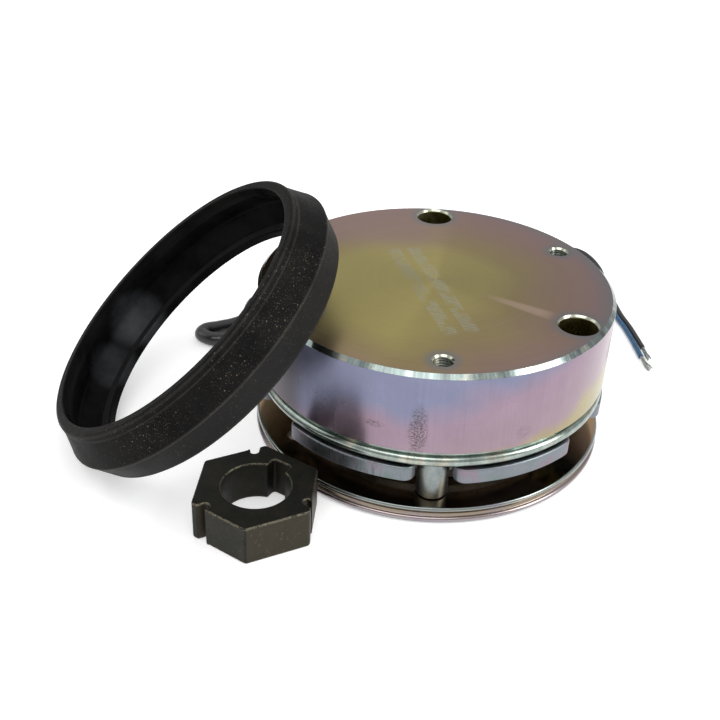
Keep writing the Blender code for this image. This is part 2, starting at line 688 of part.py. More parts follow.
def make_leads():
    """The grommet, the twisted pair as its outer shape, and the two free ends with bare tips."""
    empty = add_empty("lead_axis", (0, 0, 0))
    empty.matrix_world = lead_axis()
    collar_low = HOUSING_RADIUS + TOUCH
    turned(
        "lead_grommet",
        [
            (0, collar_low + GROMMET_COLLAR_THICKNESS),
            (GROMMET_COLLAR_RADIUS, collar_low + GROMMET_COLLAR_THICKNESS),
            (GROMMET_COLLAR_RADIUS, collar_low), (GROMMET_RADIUS, collar_low),
            (GROMMET_RADIUS, GROMMET_INNER_END), (0, GROMMET_INNER_END),
        ],
        "rubber", segments=24, parent=empty,
    )
    wire("lead_pair", smooth_route(LEAD_ROUTE, 2), 2 * WIRE_RADIUS, "black_insulation")
    wire("lead_black_end", smooth_route(BLACK_END_ROUTE, 2), WIRE_RADIUS, "black_insulation")
    wire("lead_blue_end", smooth_route(BLUE_END_ROUTE, 2), WIRE_RADIUS, "blue_insulation")
    wire("conductor_black", smooth_route(BLACK_CONDUCTOR_ROUTE, 2), CONDUCTOR_RADIUS, "tinned_copper")
    wire("conductor_blue", smooth_route(BLUE_CONDUCTOR_ROUTE, 2), CONDUCTOR_RADIUS, "tinned_copper")


clear_scene()
parts = new_collection("electromagnetic_brake")
cutters = new_collection("cutters")
cutters.hide_render = True
make_housing()
make_coil()
make_springs()
make_armature()
make_rotor()
make_flange()
make_sleeves_and_screws()
make_hub()
make_cover_ring()
make_leads()
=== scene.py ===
"""Looks of the spring-applied electromagnetic brake: finely turned pieces in place of the plain CAD
solids, procedural finishes, the twisted leads, a pale floor, studio light and the camera. Metres."""

import math
import random

import bmesh
import bpy
import numpy as np
from mathutils import Matrix, Vector


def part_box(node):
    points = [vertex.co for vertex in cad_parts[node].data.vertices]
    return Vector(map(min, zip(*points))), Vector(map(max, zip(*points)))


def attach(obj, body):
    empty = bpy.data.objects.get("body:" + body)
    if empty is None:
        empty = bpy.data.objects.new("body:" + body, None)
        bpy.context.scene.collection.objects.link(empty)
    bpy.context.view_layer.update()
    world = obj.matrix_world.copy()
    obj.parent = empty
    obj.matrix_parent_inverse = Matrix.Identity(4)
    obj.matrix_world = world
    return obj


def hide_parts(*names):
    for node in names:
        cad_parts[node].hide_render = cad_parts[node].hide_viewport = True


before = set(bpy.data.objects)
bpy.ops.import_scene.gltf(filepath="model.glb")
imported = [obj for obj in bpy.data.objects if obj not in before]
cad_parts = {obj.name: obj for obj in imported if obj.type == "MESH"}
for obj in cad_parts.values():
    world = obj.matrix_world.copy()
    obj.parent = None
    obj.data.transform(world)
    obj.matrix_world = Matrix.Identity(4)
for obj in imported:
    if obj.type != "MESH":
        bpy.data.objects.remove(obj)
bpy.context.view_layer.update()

MM = 0.001
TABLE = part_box("flange_plate")[0].z

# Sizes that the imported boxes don't tell, as in the design.
HOUSING_CHAMFER = 1.2 * MM
SEAL_GROOVE_DEPTH = 1.5 * MM
SEAL_GROOVE_WIDTH = 1.3 * MM
BEAD_HEIGHT = 3.3 * MM
COIL_INNER_RADIUS = 25.0 * MM
COIL_OUTER_RADIUS = 38.5 * MM
COIL_DEPTH = 18.0 * MM
SHAFT_POCKET_RADIUS = 12.5 * MM
SHAFT_POCKET_DEPTH = 20.0 * MM
BOLT_CIRCLE_RADIUS = 45.0 * MM
MOUNTING_ANGLES = (-31.3, 88.7, 208.7)
MOUNTING_HOLE_RADIUS = 5.3 * MM
MOUNTING_BOLT_HOLE_RADIUS = 2.75 * MM
SCREW_ANGLES = (-90.0, 30.0, 150.0)
SCREW_HOLE_RADIUS = 2.5 * MM
THREAD_PITCH = 0.8 * MM
THREAD_DEPTH = 0.3 * MM
THREADS = 14
HOLE_CHAMFER = 0.6 * MM
SLEEVE_NOTCH_RADIUS = 5.15 * MM
MOUNTING_NOTCH_RADIUS = 8.4 * MM
NOTCH_CORNER_RADIUS = 3.2 * MM
ARMATURE_BORE_RADIUS = 19.3 * MM
FLANGE_BORE_RADIUS = 14.0 * MM
RIM_GROOVE_DEPTH = 1.1 * MM
RIM_BEAD_RADIUS = 0.8 * MM
SLEEVE_WALL = 1.6 * MM
SPRING_ANGLES = (0, 60, 120, 180, 240, 300)
SPRING_POCKET_RADIUS = 3.15 * MM
SPRING_POCKET_DEPTH = 13.0 * MM
SCREW_HEAD_HEIGHT = 2.6 * MM
SCREW_HEAD_RADIUS = 4.0 * MM
SCREW_RADIUS = 2.2 * MM
SOCKET_FLATS = 4.0 * MM
SOCKET_DEPTH = 1.5 * MM
FLANGE_SCREW_HOLE_RADIUS = 2.5 * MM
COUNTERBORE_RADIUS = 4.3 * MM
COUNTERBORE_DEPTH = 3.2 * MM
HUB_FLATS = 31.6 * MM
HUB_BORE_RADIUS = 9.5 * MM
HUB_KEYWAY_WIDTH = 6.0 * MM
HUB_KEYWAY_RADIUS = 12.3 * MM
HUB_KEYWAY_ANGLE = 59.0
HUB_CORNER_ANGLE = 207.0
HUB_SLOT_WIDTH = 2.4 * MM
HUB_SLOT_DEPTH = 4.2 * MM
HUB_SLOT_OFFSET = 2.85 * MM
HUB_EDGE = 0.55 * MM
RING_WIDTH = 18.7 * MM
RING_FRONT_RADIUS = 46.3 * MM
RING_RIDGE_RADIUS = 50.3 * MM
RING_RIDGE_PLACE = 9.5 * MM
RING_BACK_RADIUS = 47.4 * MM
RING_WALL = 3.3 * MM
RING_LIP_DEPTH = 3.3 * MM
RING_LIP_THICK = 2.4 * MM
LEAD_ANGLE = 165.0
LEAD_HEIGHT = 30.0 * MM
GROMMET_HOLE_RADIUS = 3.7 * MM
GROMMET_RADIUS = 3.4 * MM
GROMMET_COLLAR_RADIUS = 4.6 * MM
WIRE_RADIUS = 0.95 * MM
TWIST_RADIUS = 0.98 * MM
TWIST_PITCH = 60.0 * MM
TWIST_TURN = math.radians(240)
STRAND_RADIUS = 0.13 * MM
SLEEVE_RADIUS = 2.4 * MM
SLEEVE_TAPER = 0.16  # thinner by this share where it stands off the table
SLEEVE_POINTS = 17  # the points of the leads' route that it covers

# The leads' own route, in millimetres: x, y and the height above the table.
LEAD_ROUTE = (
    (-53.2, 14.3, 30.0), (-55.6, 15.1, 29.3), (-57.4, 17.0, 25.0), (-58.6, 20.5, 15.5),
    (-60.0, 26.0, 7.0), (-62.6, 32.0, 3.0), (-67.5, 35.9, 2.1), (-73.0, 36.3, 2.1),
    (-76.9, 38.9, 2.1), (-76.0, 42.3, 2.1), (-71.4, 44.4, 2.1), (-66.0, 47.4, 2.1),
    (-59.0, 54.0, 2.1), (-51.0, 62.0, 2.1), (-42.0, 68.0, 2.1), (-30.0, 71.0, 2.1),
    (-18.0, 70.0, 2.1), (-4.0, 73.5, 2.1), (9.0, 82.0, 2.1), (21.0, 92.5, 2.1),
    (33.0, 103.5, 2.1), (46.0, 113.5, 2.1), (57.5, 119.3, 2.1), (66.8, 117.0, 2.1),
    (71.9, 103.0, 2.1), (71.7, 91.0, 2.1),
)
BLACK_END_ROUTE = (
    (73.8, 79.6, 1.1), (74.9, 68.5, 1.1), (76.5, 59.8, 1.1), (77.6, 51.5, 1.1), (78.3, 45.6, 1.1),
)
BLUE_END_ROUTE = (
    (71.4, 79.6, 1.1), (72.7, 68.0, 1.1), (74.4, 59.3, 1.1), (75.5, 50.5, 1.1), (76.5, 39.2, 1.1),
)
BLACK_CONDUCTOR_ROUTE = ((78.3, 45.9, 1.1), (78.8, 41.6, 0.9), (79.4, 38.3, 0.8))
BLUE_CONDUCTOR_ROUTE = ((76.5, 39.5, 1.1), (77.2, 35.0, 0.9), (78.1, 31.5, 0.8))

OVERCUT = 2.0 * MM


# ---------------------------------------------------------------- node materials


class Finish:
    """A material being made from a Principled shader. Its methods return output sockets."""

    def __init__(self, name, colour, roughness, metallic=0.0, constants=None):
        self.material = bpy.data.materials.new(name)
        self.material.use_nodes = True
        self.tree = self.material.node_tree
        self.shader = self.tree.nodes["Principled BSDF"]
        self.shader.inputs["Base Color"].default_value = (*colour, 1)
        self.shader.inputs["Roughness"].default_value = roughness
        self.shader.inputs["Metallic"].default_value = metallic
        for socket, value in (constants or {}).items():
            self.shader.inputs[socket].default_value = value
        self.place = self.node("ShaderNodeTexCoord").outputs["Object"]
        apart = self.node("ShaderNodeSeparateXYZ", {0: self.place})
        self.x, self.y, self.z = apart.outputs

    def node(self, kind, inputs=None, **settings):
        made = self.tree.nodes.new(kind)
        for name, value in settings.items():
            setattr(made, name, value)
        for key, value in (inputs or {}).items():
            self.put(made.inputs[key], value)
        return made

    def put(self, socket, value):
        if isinstance(value, bpy.types.NodeSocket):
            self.tree.links.new(value, socket)
        else:
            socket.default_value = value

    def calc(self, operation, a, b=0.0, c=0.0):
        return self.node("ShaderNodeMath", {0: a, 1: b, 2: c}, operation=operation).outputs[0]

    def vector_calc(self, operation, a, b=(0, 0, 0), output=0):
        return self.node("ShaderNodeVectorMath", {0: a, 1: b}, operation=operation).outputs[output]

    def product(self, first, *others):
        for other in others:
            first = self.calc("MULTIPLY", first, other)
        return first

    def total(self, *terms):
        """The sum of the (value, weight) terms."""
        parts = [self.calc("MULTIPLY", value, weight) for value, weight in terms]
        found = parts[0]
        for part in parts[1:]:
            found = self.calc("ADD", found, part)
        return found

    def spread(self, value, low, high, to_low=0.0, to_high=1.0):
        """Maps low..high to to_low..to_high along a smooth step."""
        inputs = {"Value": value, "From Min": low, "From Max": high, "To Min": to_low, "To Max": to_high}
        made = self.node("ShaderNodeMapRange", inputs, interpolation_type="SMOOTHSTEP")
        return made.outputs["Result"]

    def radius(self, x=0.0, y=0.0):
        """Distance from a vertical axis."""
        dx = self.calc("SUBTRACT", self.x, x)
        dy = self.calc("SUBTRACT", self.y, y)
        squares = self.calc("ADD", self.calc("MULTIPLY", dx, dx), self.calc("MULTIPLY", dy, dy))
        return self.calc("SQRT", squares)

    def along(self, degrees):
        """Cosine of the angle between the point's direction from the axis and this one."""
        angle = math.radians(degrees)
        across = self.calc("MULTIPLY", self.x, math.cos(angle))
        dot = self.calc("MULTIPLY_ADD", self.y, math.sin(angle), across)
        return self.calc("DIVIDE", dot, self.calc("MAXIMUM", self.radius(), 1e-6))

    def vector(self, x, y, z):
        return self.node("ShaderNodeCombineXYZ", {0: x, 1: y, 2: z}).outputs[0]

    def stretched(self, stretch, turn=0.0):
        inputs = {"Vector": self.place, "Scale": stretch, "Rotation": (0, 0, math.radians(turn))}
        return self.node("ShaderNodeMapping", inputs).outputs[0]

    def noise(self, size, detail=3.0, rough=0.5, at=None):
        """Noise whose blotches are about size metres across."""
        place = self.place if at is None else at
        inputs = {"Vector": place, "Scale": 1 / size, "Detail": detail, "Roughness": rough}
        return self.node("ShaderNodeTexNoise", inputs).outputs[0]

    def rings(self, size, detail=2.0):
        """Noise that turning marks have on a flat face: it changes with the radius alone."""
        return self.noise(size, detail, 0.6, self.vector(self.radius(), 0.0, 0.0))

    def turns(self, size):
        """The same on an upright side: it changes with the height alone."""
        return self.noise(size, 2.0, 0.6, self.vector(0.0, 0.0, self.z))

    def cells(self, size, output):
        inputs = {"Vector": self.place, "Scale": 1 / size}
        return self.node("ShaderNodeTexVoronoi", inputs).outputs[output]

    def ramp(self, value, *stops):
        made = self.node("ShaderNodeValToRGB", {0: value})
        set_stops(made, stops)
        return made.outputs[0]

    def shaded(self, colour, value, low, high):
        """The colour times a grey that runs between two stops, each a place and a brightness."""
        grey = self.ramp(value, *[(place, (level,) * 3) for place, level in (low, high)])
        return self.mix(1.0, colour, grey, "MULTIPLY")

    def mix(self, factor, a, b, blend="MIX"):
        made = self.node("ShaderNodeMix", data_type="RGBA", blend_type=blend)
        for index, value in ((0, factor), (6, a), (7, b)):
            if isinstance(value, tuple):
                value = (*value, 1)
            self.put(made.inputs[index], value)
        return made.outputs[2]

    def bump(self, height, distance, strength=1.0):
        inputs = {"Height": height, "Distance": distance, "Strength": strength}
        return self.node("ShaderNodeBump", inputs).outputs[0]

    def done(self, colour=None, roughness=None, normal=None, tangent=None):
        found = {"Base Color": colour, "Roughness": roughness, "Normal": normal, "Tangent": tangent}
        for socket, value in found.items():
            if value is not None:
                self.put(self.shader.inputs[socket], value)
        return self.material


def set_stops(ramp, stops):
    """Gives a colour ramp node these stops of (place, colour)."""
    elements = ramp.color_ramp.elements
    while len(elements) < len(stops):
        elements.new(0.5)
    for element, (place, colour) in zip(elements, stops):
        element.position = place
        element.color = (*colour, 1)


def turning_tangent(finish):
    return finish.node("ShaderNodeTangent", direction_type="RADIAL", axis="Z").outputs[0]


OLIVE = (0.41, 0.345, 0.125)
OLIVE_DEEP = (0.35, 0.275, 0.125)
PINK_BROWN = (0.34, 0.232, 0.172)
MAUVE = (0.33, 0.222, 0.210)
GREY_BLUE = (0.22, 0.228, 0.232)
LAVENDER = (0.200, 0.207, 0.300)
PINK = (0.290, 0.212, 0.270)
STRAW = (0.350, 0.300, 0.165)
PINK_SHADE = (0.24, 0.18, 0.21)
# Painted reflection of the dark cover ring on the housing's side.
RING_REFLECTION_DARK = (0.085, 0.070, 0.070)
# Two pale patches painted inside the ring, which stand for its sheen: the way to each from the
# ring's front, its width as a cosine, its strength.
INNER_SHEEN_PATCHES = (((-0.39, 0.73, -0.56), 0.972, 0.80), ((-0.50, 0.42, -0.76), 0.982, 0.45))
GRIME = (0.06, 0.055, 0.05)

# Rub marks on the housing's side: degrees round it, height, half width, half height, strength.
SMUDGES = (
    (-96.0, -17.5 * MM, 2.8 * MM, 8.5 * MM, 0.90),
    (-117.5, -21.0 * MM, 4.5 * MM, 7.5 * MM, 0.28),
    (-109.0, -17.5 * MM, 3.0 * MM, 1.2 * MM, 0.60),
    (-64.0, -20.0 * MM, 2.6 * MM, 2.2 * MM, 0.32),
    (63.0, -14.0 * MM, 5.0 * MM, 4.0 * MM, 0.45),
    (135.0, -20.0 * MM, 3.0 * MM, 5.0 * MM, 0.40),
)
FAINT_SMUDGE = 0.3  # weaker ones are an even film, without specks
# Lint on the rubber: spacing, a speck's reach in spacings, the share left bare, strength.
LINT = ((0.75 * MM, 0.20, 0.22, 0.7), (1.5 * MM, 0.15, 0.40, 1.0), (0.42 * MM, 0.24, 0.20, 0.5))
# Edges of the cover ring painted lighter grey: depth behind its front, half width, strength.
RING_EDGE_LINES = (
    (-9.75 * MM, 0.55 * MM, 0.55), (-0.6 * MM, 0.5 * MM, 0.30),
    (-2.3 * MM, 0.3 * MM, 0.35), (-18.0 * MM, 0.7 * MM, 0.35),
)

# Plain finishes: name, dark and light colour, roughness, metallic, grain size, bump in millimetres,
# and the CAD nodes that wear it.
CAD_FINISHES = (
    (
        "friction_lining", (0.020, 0.016, 0.012), (0.115, 0.085, 0.055), 0.82, 0.0, 0.6 * MM, 0.06,
        ("friction_lining_upper", "friction_lining_lower"),
    ),
    (
        "carrier_aluminium", (0.32, 0.33, 0.34), (0.52, 0.53, 0.54), 0.36, 1.0, 0.4 * MM, 0.01,
        ("rotor_carrier",),
    ),
    (
        "bobbin_nylon", (0.014, 0.014, 0.014), (0.030, 0.030, 0.031), 0.5, 0.0, 0.5 * MM, 0.02,
        ("coil_bobbin",),
    ),
    (
        "potting_resin", (0.016, 0.016, 0.018), (0.040, 0.040, 0.043), 0.34, 0.0, 1.2 * MM, 0.03,
        ("potting_ring",),
    ),
    (
        "enamelled_copper", (0.34, 0.12, 0.05), (0.66, 0.28, 0.13), 0.30, 1.0, 0.35 * MM, 0.05,
        ("coil_winding",),
    ),
    (
        "spring_steel", (0.22, 0.22, 0.24), (0.44, 0.44, 0.45), 0.26, 1.0, 0.3 * MM, 0.004,
        tuple(f"spring_{i}" for i in range(1, 7)),
    ),
)

# The stage: greys of the surroundings by height; name, place, size and watts of each light; camera.
WORLD_GREYS = ((0.0, 0.80), (0.20, 0.62), (0.55, 0.58), (0.80, 0.95), (1.0, 1.10))
LIGHTS = (
    ("overhead", (-0.10, -0.50, 0.80), (0.7, 0.5), 2.6),
    ("left_fill", (-0.8, 0.1, 0.5), (0.5, 0.5), 0.8),
    ("right_fill", (0.75, -0.25, 0.45), (0.4, 0.6), 4.5),
)
FLOOR_RADIUS = 2.5
FLOOR_GLOW = 0.36
CAMERA_PLACE = (-0.021485, -0.27913, 0.14528)
CAMERA_LENS = 53.23
CAMERA_TILT = math.radians(31.99)
CAMERA_ROLL = math.radians(2.54)


def zinc_top():
    """The turned back face: yellow passivated zinc with its colour bands, turning marks and halos, and a
    painted light sweep and highlight ray.
    """
    made = Finish("zinc_top", OLIVE, 0.30, 1.0, {"Anisotropic": 0.75, "Anisotropic Rotation": 0.25})
    radius = made.radius()
    wave = made.noise(38 * MM, 2.0, 0.5)
    drift = made.calc("MULTIPLY_ADD", wave, 0.50, -0.25)
    # The yellow patch lies left of the middle, and the bands round it turn pink and then mauve.
    patch = made.radius(-12 * MM, -5 * MM)
    band = made.calc("ADD", made.calc("DIVIDE", patch, 62 * MM), drift)
    colour = made.ramp(
        band,
        (0.0, OLIVE), (0.42, OLIVE), (0.58, OLIVE_DEEP), (0.78, PINK_BROWN), (1.0, MAUVE),
    )
    far = made.spread(made.y, 14 * MM, 30 * MM)
    left = made.spread(made.x, 12 * MM, -8 * MM)
    colour = made.mix(made.product(far, left, 0.75), colour, MAUVE)
    reach = made.calc("ADD", radius, made.product(made.along(10), 4 * MM))
    colour = made.mix(made.spread(reach, 49 * MM, 56 * MM, 0.0, 0.8), colour, GREY_BLUE)
    for angles, hole in ((MOUNTING_ANGLES, MOUNTING_HOLE_RADIUS), (SCREW_ANGLES, SCREW_HOLE_RADIUS)):
        for degrees in angles:
            centre = polar(BOLT_CIRCLE_RADIUS, degrees)
            away = made.radius(centre.x, centre.y)
            halo = made.spread(away, hole + 4.2 * MM, hole + 0.2 * MM, 0.0, 0.8)
            colour = made.mix(halo, colour, GREY_BLUE)
    # Painted, like the ray below: the face is a little brighter on its left, as where light sweeps it.
    sector = made.spread(made.along(168), -0.06, 0.20)
    sweep = made.ramp(sector, (0.0, (0.93, 0.92, 0.95)), (1.0, (1.06,) * 3))
    colour = made.mix(1.0, colour, sweep, "MULTIPLY")
    # Painted highlight: a pale pink ray out from the middle towards a mounting hole.
    ray = made.spread(made.along(-31), 0.9965, 0.9998)
    start = made.spread(radius, 14 * MM, 25 * MM)
    end = made.spread(radius, 39 * MM, 33 * MM)
    colour = made.mix(made.product(ray, start, end, 0.7), colour, (0.56, 0.40, 0.30))
    lines = made.rings(0.11 * MM)
    wide = made.rings(1.6 * MM, 3.0)
    scratches = made.noise(0.5 * MM, 3.0, 0.6, made.stretched((0.06, 1, 1), 14))
    grain = made.noise(0.22 * MM, 3.0, 0.65)
    shade = made.total((lines, 0.22), (wide, 0.14), (grain, 0.16), (scratches, 0.10))
    colour = made.shaded(colour, shade, (0.14, 0.82), (0.48, 1.12))
    marks = peen_marks(made)
    colour = made.mix(made.product(marks, 0.90), colour, (0.33, 0.37, 0.38))
    rough = made.calc("ADD", made.total((wide, 0.10), (marks, 0.2)), 0.25)
    height = made.total((lines, 1.0), (wide, 0.8), (marks, -1.0))
    return made.done(colour, rough, made.bump(height, 0.006 * MM, 0.8), turning_tangent(made))


def peen_marks(made):
    """Two bands of plain pecked ticks, worn away in places, which spell nothing: 1 on a tick."""
    at = made.node(
        "ShaderNodeMapping",
        {"Vector": made.place, "Location": (4.5 * MM, 4.5 * MM, 0), "Rotation": (0, 0, math.radians(-17))},
    ).outputs[0]
    across, down, _ = made.node("ShaderNodeSeparateXYZ", {0: at}).outputs
    dot = 0.40 * MM
    inside = made.vector_calc("FRACTION", made.vector_calc("DIVIDE", at, (dot, dot, 1.0)))
    dots = made.spread(made.vector_calc("DISTANCE", inside, (0.5, 0.5, 0.0), "Value"), 0.55, 0.25)
    ticks = made.calc("GREATER_THAN", made.calc("FRACT", made.calc("DIVIDE", down, 2 * dot)), 0.5)
    columns = made.calc("GREATER_THAN", made.calc("FRACT", made.calc("DIVIDE", across, 6.3 * MM)), 0.36)
    worn = made.spread(made.noise(5 * MM, 2.0), 0.34, 0.50)
    box_x = made.spread(made.calc("ABSOLUTE", across), 6.6 * MM, 6.2 * MM)
    box_y = made.spread(made.calc("ABSOLUTE", down), 27 * MM, 26 * MM)
    return made.product(dots, ticks, columns, worn, box_x, box_y)


def zinc_side():
    """The turned side: lavender above, pink below with the border rising to the right, then straw."""
    made = Finish("zinc_side", PINK, 0.27, 1.0, {"Anisotropic": 0.5, "Anisotropic Rotation": 0.25})
    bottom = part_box("magnet_housing")[0].z
    rise = made.calc("DIVIDE", made.calc("SUBTRACT", made.z, bottom), -bottom)
    patches = made.noise(26 * MM, 2.0, 0.5)
    sweep = made.calc("MULTIPLY_ADD", rise, -2.03, made.along(0))
    sweep = made.calc("ADD", sweep, made.calc("MULTIPLY_ADD", patches, 1.4, -0.7))
    field = made.calc("MULTIPLY_ADD", sweep, 0.24, 0.81)
    # Painted reflection: the darkest stop, a shaded pink, darkens the left side towards the top, beside the
    # ring.
    colour = made.ramp(
        field,
        (0.02, PINK_SHADE), (0.16, LAVENDER), (0.42, LAVENDER), (0.53, PINK),
        (0.76, (0.31, 0.23, 0.265)), (0.84, STRAW), (0.94, STRAW), (1.0, PINK),
    )
    # Painted reflection: the dark of the leaning ring mirrored on the side next to it.
    colour = made.mix(made.spread(made.along(-150), 0.955, 0.99, 0.0, 0.8), colour, RING_REFLECTION_DARK)
    streaks = made.noise(0.7 * MM, 3.0, 0.6, made.stretched((1, 1, 0.035)))
    cloud = made.noise(9 * MM, 4.0, 0.6)
    turned_marks = made.turns(0.14 * MM)
    grain = made.noise(0.25 * MM, 3.0, 0.7)
    shade = made.total((streaks, 0.13), (cloud, 0.23), (turned_marks, 0.10), (grain, 0.14))
    colour = made.shaded(colour, shade, (0.18, 0.80), (0.42, 1.10))
    grime = smudges(made)
    colour = made.mix(grime, colour, GRIME)
    rough = made.calc("ADD", made.total((cloud, 0.16), (grime, 0.3)), 0.17)
    height = made.total((streaks, 0.7), (turned_marks, 1.0))
    return made.done(colour, rough, made.bump(height, 0.006 * MM, 0.5), turning_tangent(made))


def smudges(made):
    """Speckled dark rub marks, as from a thumb, and a few short scratches."""
    speckle = made.spread(made.noise(0.55 * MM, 4.0, 0.75, made.stretched((1, 1, 2.2))), 0.45, 0.57)
    found = None
    for degrees, height, wide, tall, strength in SMUDGES:
        centre = polar(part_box("magnet_housing")[1].x, degrees)
        across = made.calc("DIVIDE", made.radius(centre.x, centre.y), wide)
        down = made.calc("DIVIDE", made.calc("SUBTRACT", made.z, height), tall)
        square = made.total((across, across), (down, down))
        near = made.spread(square, 1.3, 0.1, 0.0, strength)
        spot = near if strength < FAINT_SMUDGE else made.product(near, speckle)
        found = spot if found is None else made.calc("MAXIMUM", found, spot)
    return found


def zinc_bright(name, colour, roughness, painted_reflection_steps=0.0):
    """Passivated zinc on chamfers, beads and bores, greener where the film is thin. The last argument sets
    how strongly its brightness steps round the axis, as painted reflections of the light and dark about it."""
    made = Finish(name, colour, roughness, 1.0)
    shift = made.noise(7 * MM, 3.0, 0.6)
    base = made.ramp(
        shift, (0.30, tuple(0.85 * c for c in colour)), (0.52, colour), (0.72, (0.44, 0.42, 0.34)),
    )
    grain = made.noise(0.3 * MM, 3.0, 0.6)
    base = made.shaded(base, grain, (0.3, 0.86), (0.7, 1.08))
    # Painted reflection: light and dark steps round the axis.
    if painted_reflection_steps:
        angle = made.calc("ARCTAN2", made.y, made.x)
        steps = made.noise(0.9 * MM, 3.0, 0.75, made.vector(made.product(angle, 9 * MM), 0.0, 0.0))
        pale = made.ramp(steps, (0.34, (1 - painted_reflection_steps,) * 3), (0.50, (1.0,) * 3), (0.62, (1 + painted_reflection_steps,) * 3))
        base = made.mix(1.0, base, pale, "MULTIPLY")
    rough = made.spread(shift, 0.3, 0.7, roughness * 0.8, roughness * 1.3)
    return made.done(base, rough, made.bump(grain, 0.004 * MM, 0.6))


def ground_steel():
    """The armature's satin side: blue-grey with grinding marks that stand upright."""
    made = Finish("armature_satin", (0.28, 0.33, 0.35), 0.36, 1.0)
    cloud = made.noise(8 * MM, 4.0, 0.65)
    marks = made.noise(0.8 * MM, 4.0, 0.7, made.stretched((1, 1, 0.15)))
    grain = made.noise(0.3 * MM, 3.0, 0.6)
    base = made.ramp(
        cloud, (0.32, (0.155, 0.195, 0.185)), (0.5, (0.20, 0.22, 0.245)), (0.66, (0.245, 0.20, 0.235)),
    )
    left = made.spread(made.along(-130), 0.80, 0.96)
    cuts = made.product(left, made.spread(marks, 0.50, 0.66))
    base = made.mix(made.product(cuts, 0.55), base, (0.07, 0.065, 0.07))
    base = made.shaded(base, grain, (0.3, 0.88), (0.7, 1.08))
    rough = made.spread(cloud, 0.3, 0.7, 0.30, 0.44)
    height = made.total((marks, 1.0), (cuts, 2.0))
    return made.done(base, rough, made.bump(height, 0.012 * MM, 0.6))


def flange_face():
    """The flange's ground face: a dark mirror with faint rings, and painted brown reflections at both sides.
    """
    made = Finish("flange_face", (0.33, 0.27, 0.20), 0.13, 1.0)
    patches = made.noise(17 * MM, 3.0, 0.55)
    base = made.ramp(
        patches, (0.30, (0.18, 0.14, 0.10)), (0.50, (0.27, 0.205, 0.14)), (0.70, (0.21, 0.165, 0.18)),
    )
    # Painted reflection: browner towards both sides of the mirror face.
    sides = made.calc("ABSOLUTE", made.along(10))
    base = made.mix(made.spread(sides, 0.70, 0.95, 0.0, 0.8), base, (0.50, 0.33, 0.18))
    rings = made.rings(0.3 * MM)
    wipe = made.noise(2.2 * MM, 4.0, 0.7, made.stretched((1, 0.25, 1), 30))
    rough = made.total((made.spread(wipe, 0.35, 0.7, 0.08, 0.20), 1.0), (rings, 0.04))
    return made.done(base, rough, made.bump(rings, 0.003 * MM, 0.5))


def flange_rim():
    """The turned rim: pale lip, straw in the groove, rose on the bead."""
    made = Finish("flange_rim", (0.42, 0.39, 0.38), 0.20, 1.0)
    rise = made.calc("DIVIDE", made.calc("SUBTRACT", made.z, TABLE), 5.4 * MM)
    base = made.ramp(
        rise,
        (0.0, (0.20, 0.20, 0.22)), (0.18, (0.30, 0.29, 0.31)), (0.34, (0.34, 0.285, 0.285)),
        (0.50, (0.25, 0.205, 0.150)), (0.72, (0.30, 0.265, 0.195)), (0.86, (0.30, 0.335, 0.315)),
    )
    patches = made.noise(12 * MM, 3.0, 0.6)
    base = made.mix(made.spread(patches, 0.45, 0.75, 0.0, 0.5), base, (0.25, 0.21, 0.27))
    rough = made.spread(patches, 0.3, 0.7, 0.15, 0.26)
    return made.done(base, rough, made.bump(made.turns(0.12 * MM), 0.004 * MM, 0.5))


def sleeve_zinc():
    made = Finish("sleeve_zinc", (0.36, 0.40, 0.40), 0.34, 1.0)
    grain = made.noise(0.45 * MM, 4.0, 0.7)
    rub = made.noise(2.5 * MM, 3.0, 0.6, made.stretched((1, 1, 0.4)))
    base = made.ramp(rub, (0.3, (0.18, 0.20, 0.20)), (0.5, (0.235, 0.265, 0.265)), (0.7, (0.29, 0.315, 0.30)))
    base = made.shaded(base, grain, (0.3, 0.8), (0.7, 1.15))
    return made.done(base, made.spread(grain, 0.3, 0.7, 0.26, 0.42), made.bump(grain, 0.01 * MM, 0.7))


def oxide(name, worn, tan=0.0):
    """Black oxide on the hub, mottled olive-brown; worn is how far the steel shows through. Tan is
    how strongly the sides that face right are painted lighter and browner: painted light from the right."""
    made = Finish(name, (0.03, 0.029, 0.025), 0.45, 0.75)
    cloud = made.noise(5 * MM, 4.0, 0.65)
    grain = made.noise(0.35 * MM, 4.0, 0.7)
    fine = made.noise(0.9 * MM, 4.0, 0.75)
    base = made.ramp(
        cloud, (0.30, (0.009, 0.010, 0.007)), (0.52, (0.015, 0.0145, 0.0105)), (0.72, (0.024, 0.021, 0.0145)),
    )
    rust = made.spread(made.noise(6.5 * MM, 3.0, 0.6, made.stretched((1.3, 0.9, 1.1))), 0.60, 0.74, 0.0, 0.35)
    base = made.mix(rust, base, (0.036, 0.021, 0.015))
    base = made.shaded(base, grain, (0.3, 0.72), (0.7, 1.30))
    # Painted light: sides that face right are painted lighter and browner, as lit from the right.
    normal = made.node("ShaderNodeNewGeometry").outputs["Normal"]
    facing = made.node("ShaderNodeSeparateXYZ", {0: normal}).outputs[0]
    lit_from_right = made.spread(facing, 0.1, 0.4, 0.0, tan)
    base = made.mix(lit_from_right, base, (0.048, 0.040, 0.025))
    shows = made.spread(fine, 0.62 - 0.34 * worn, 0.80 - 0.30 * worn, 0.0, min(0.10 + worn, 0.9))
    base = made.mix(shows, base, (0.15, 0.135, 0.095))
    rough = made.spread(grain, 0.3, 0.7, 0.40, 0.56)
    height = made.total((grain, 1.0), (fine, 0.8))
    return made.done(base, rough, made.bump(height, 0.02 * MM, 0.7))


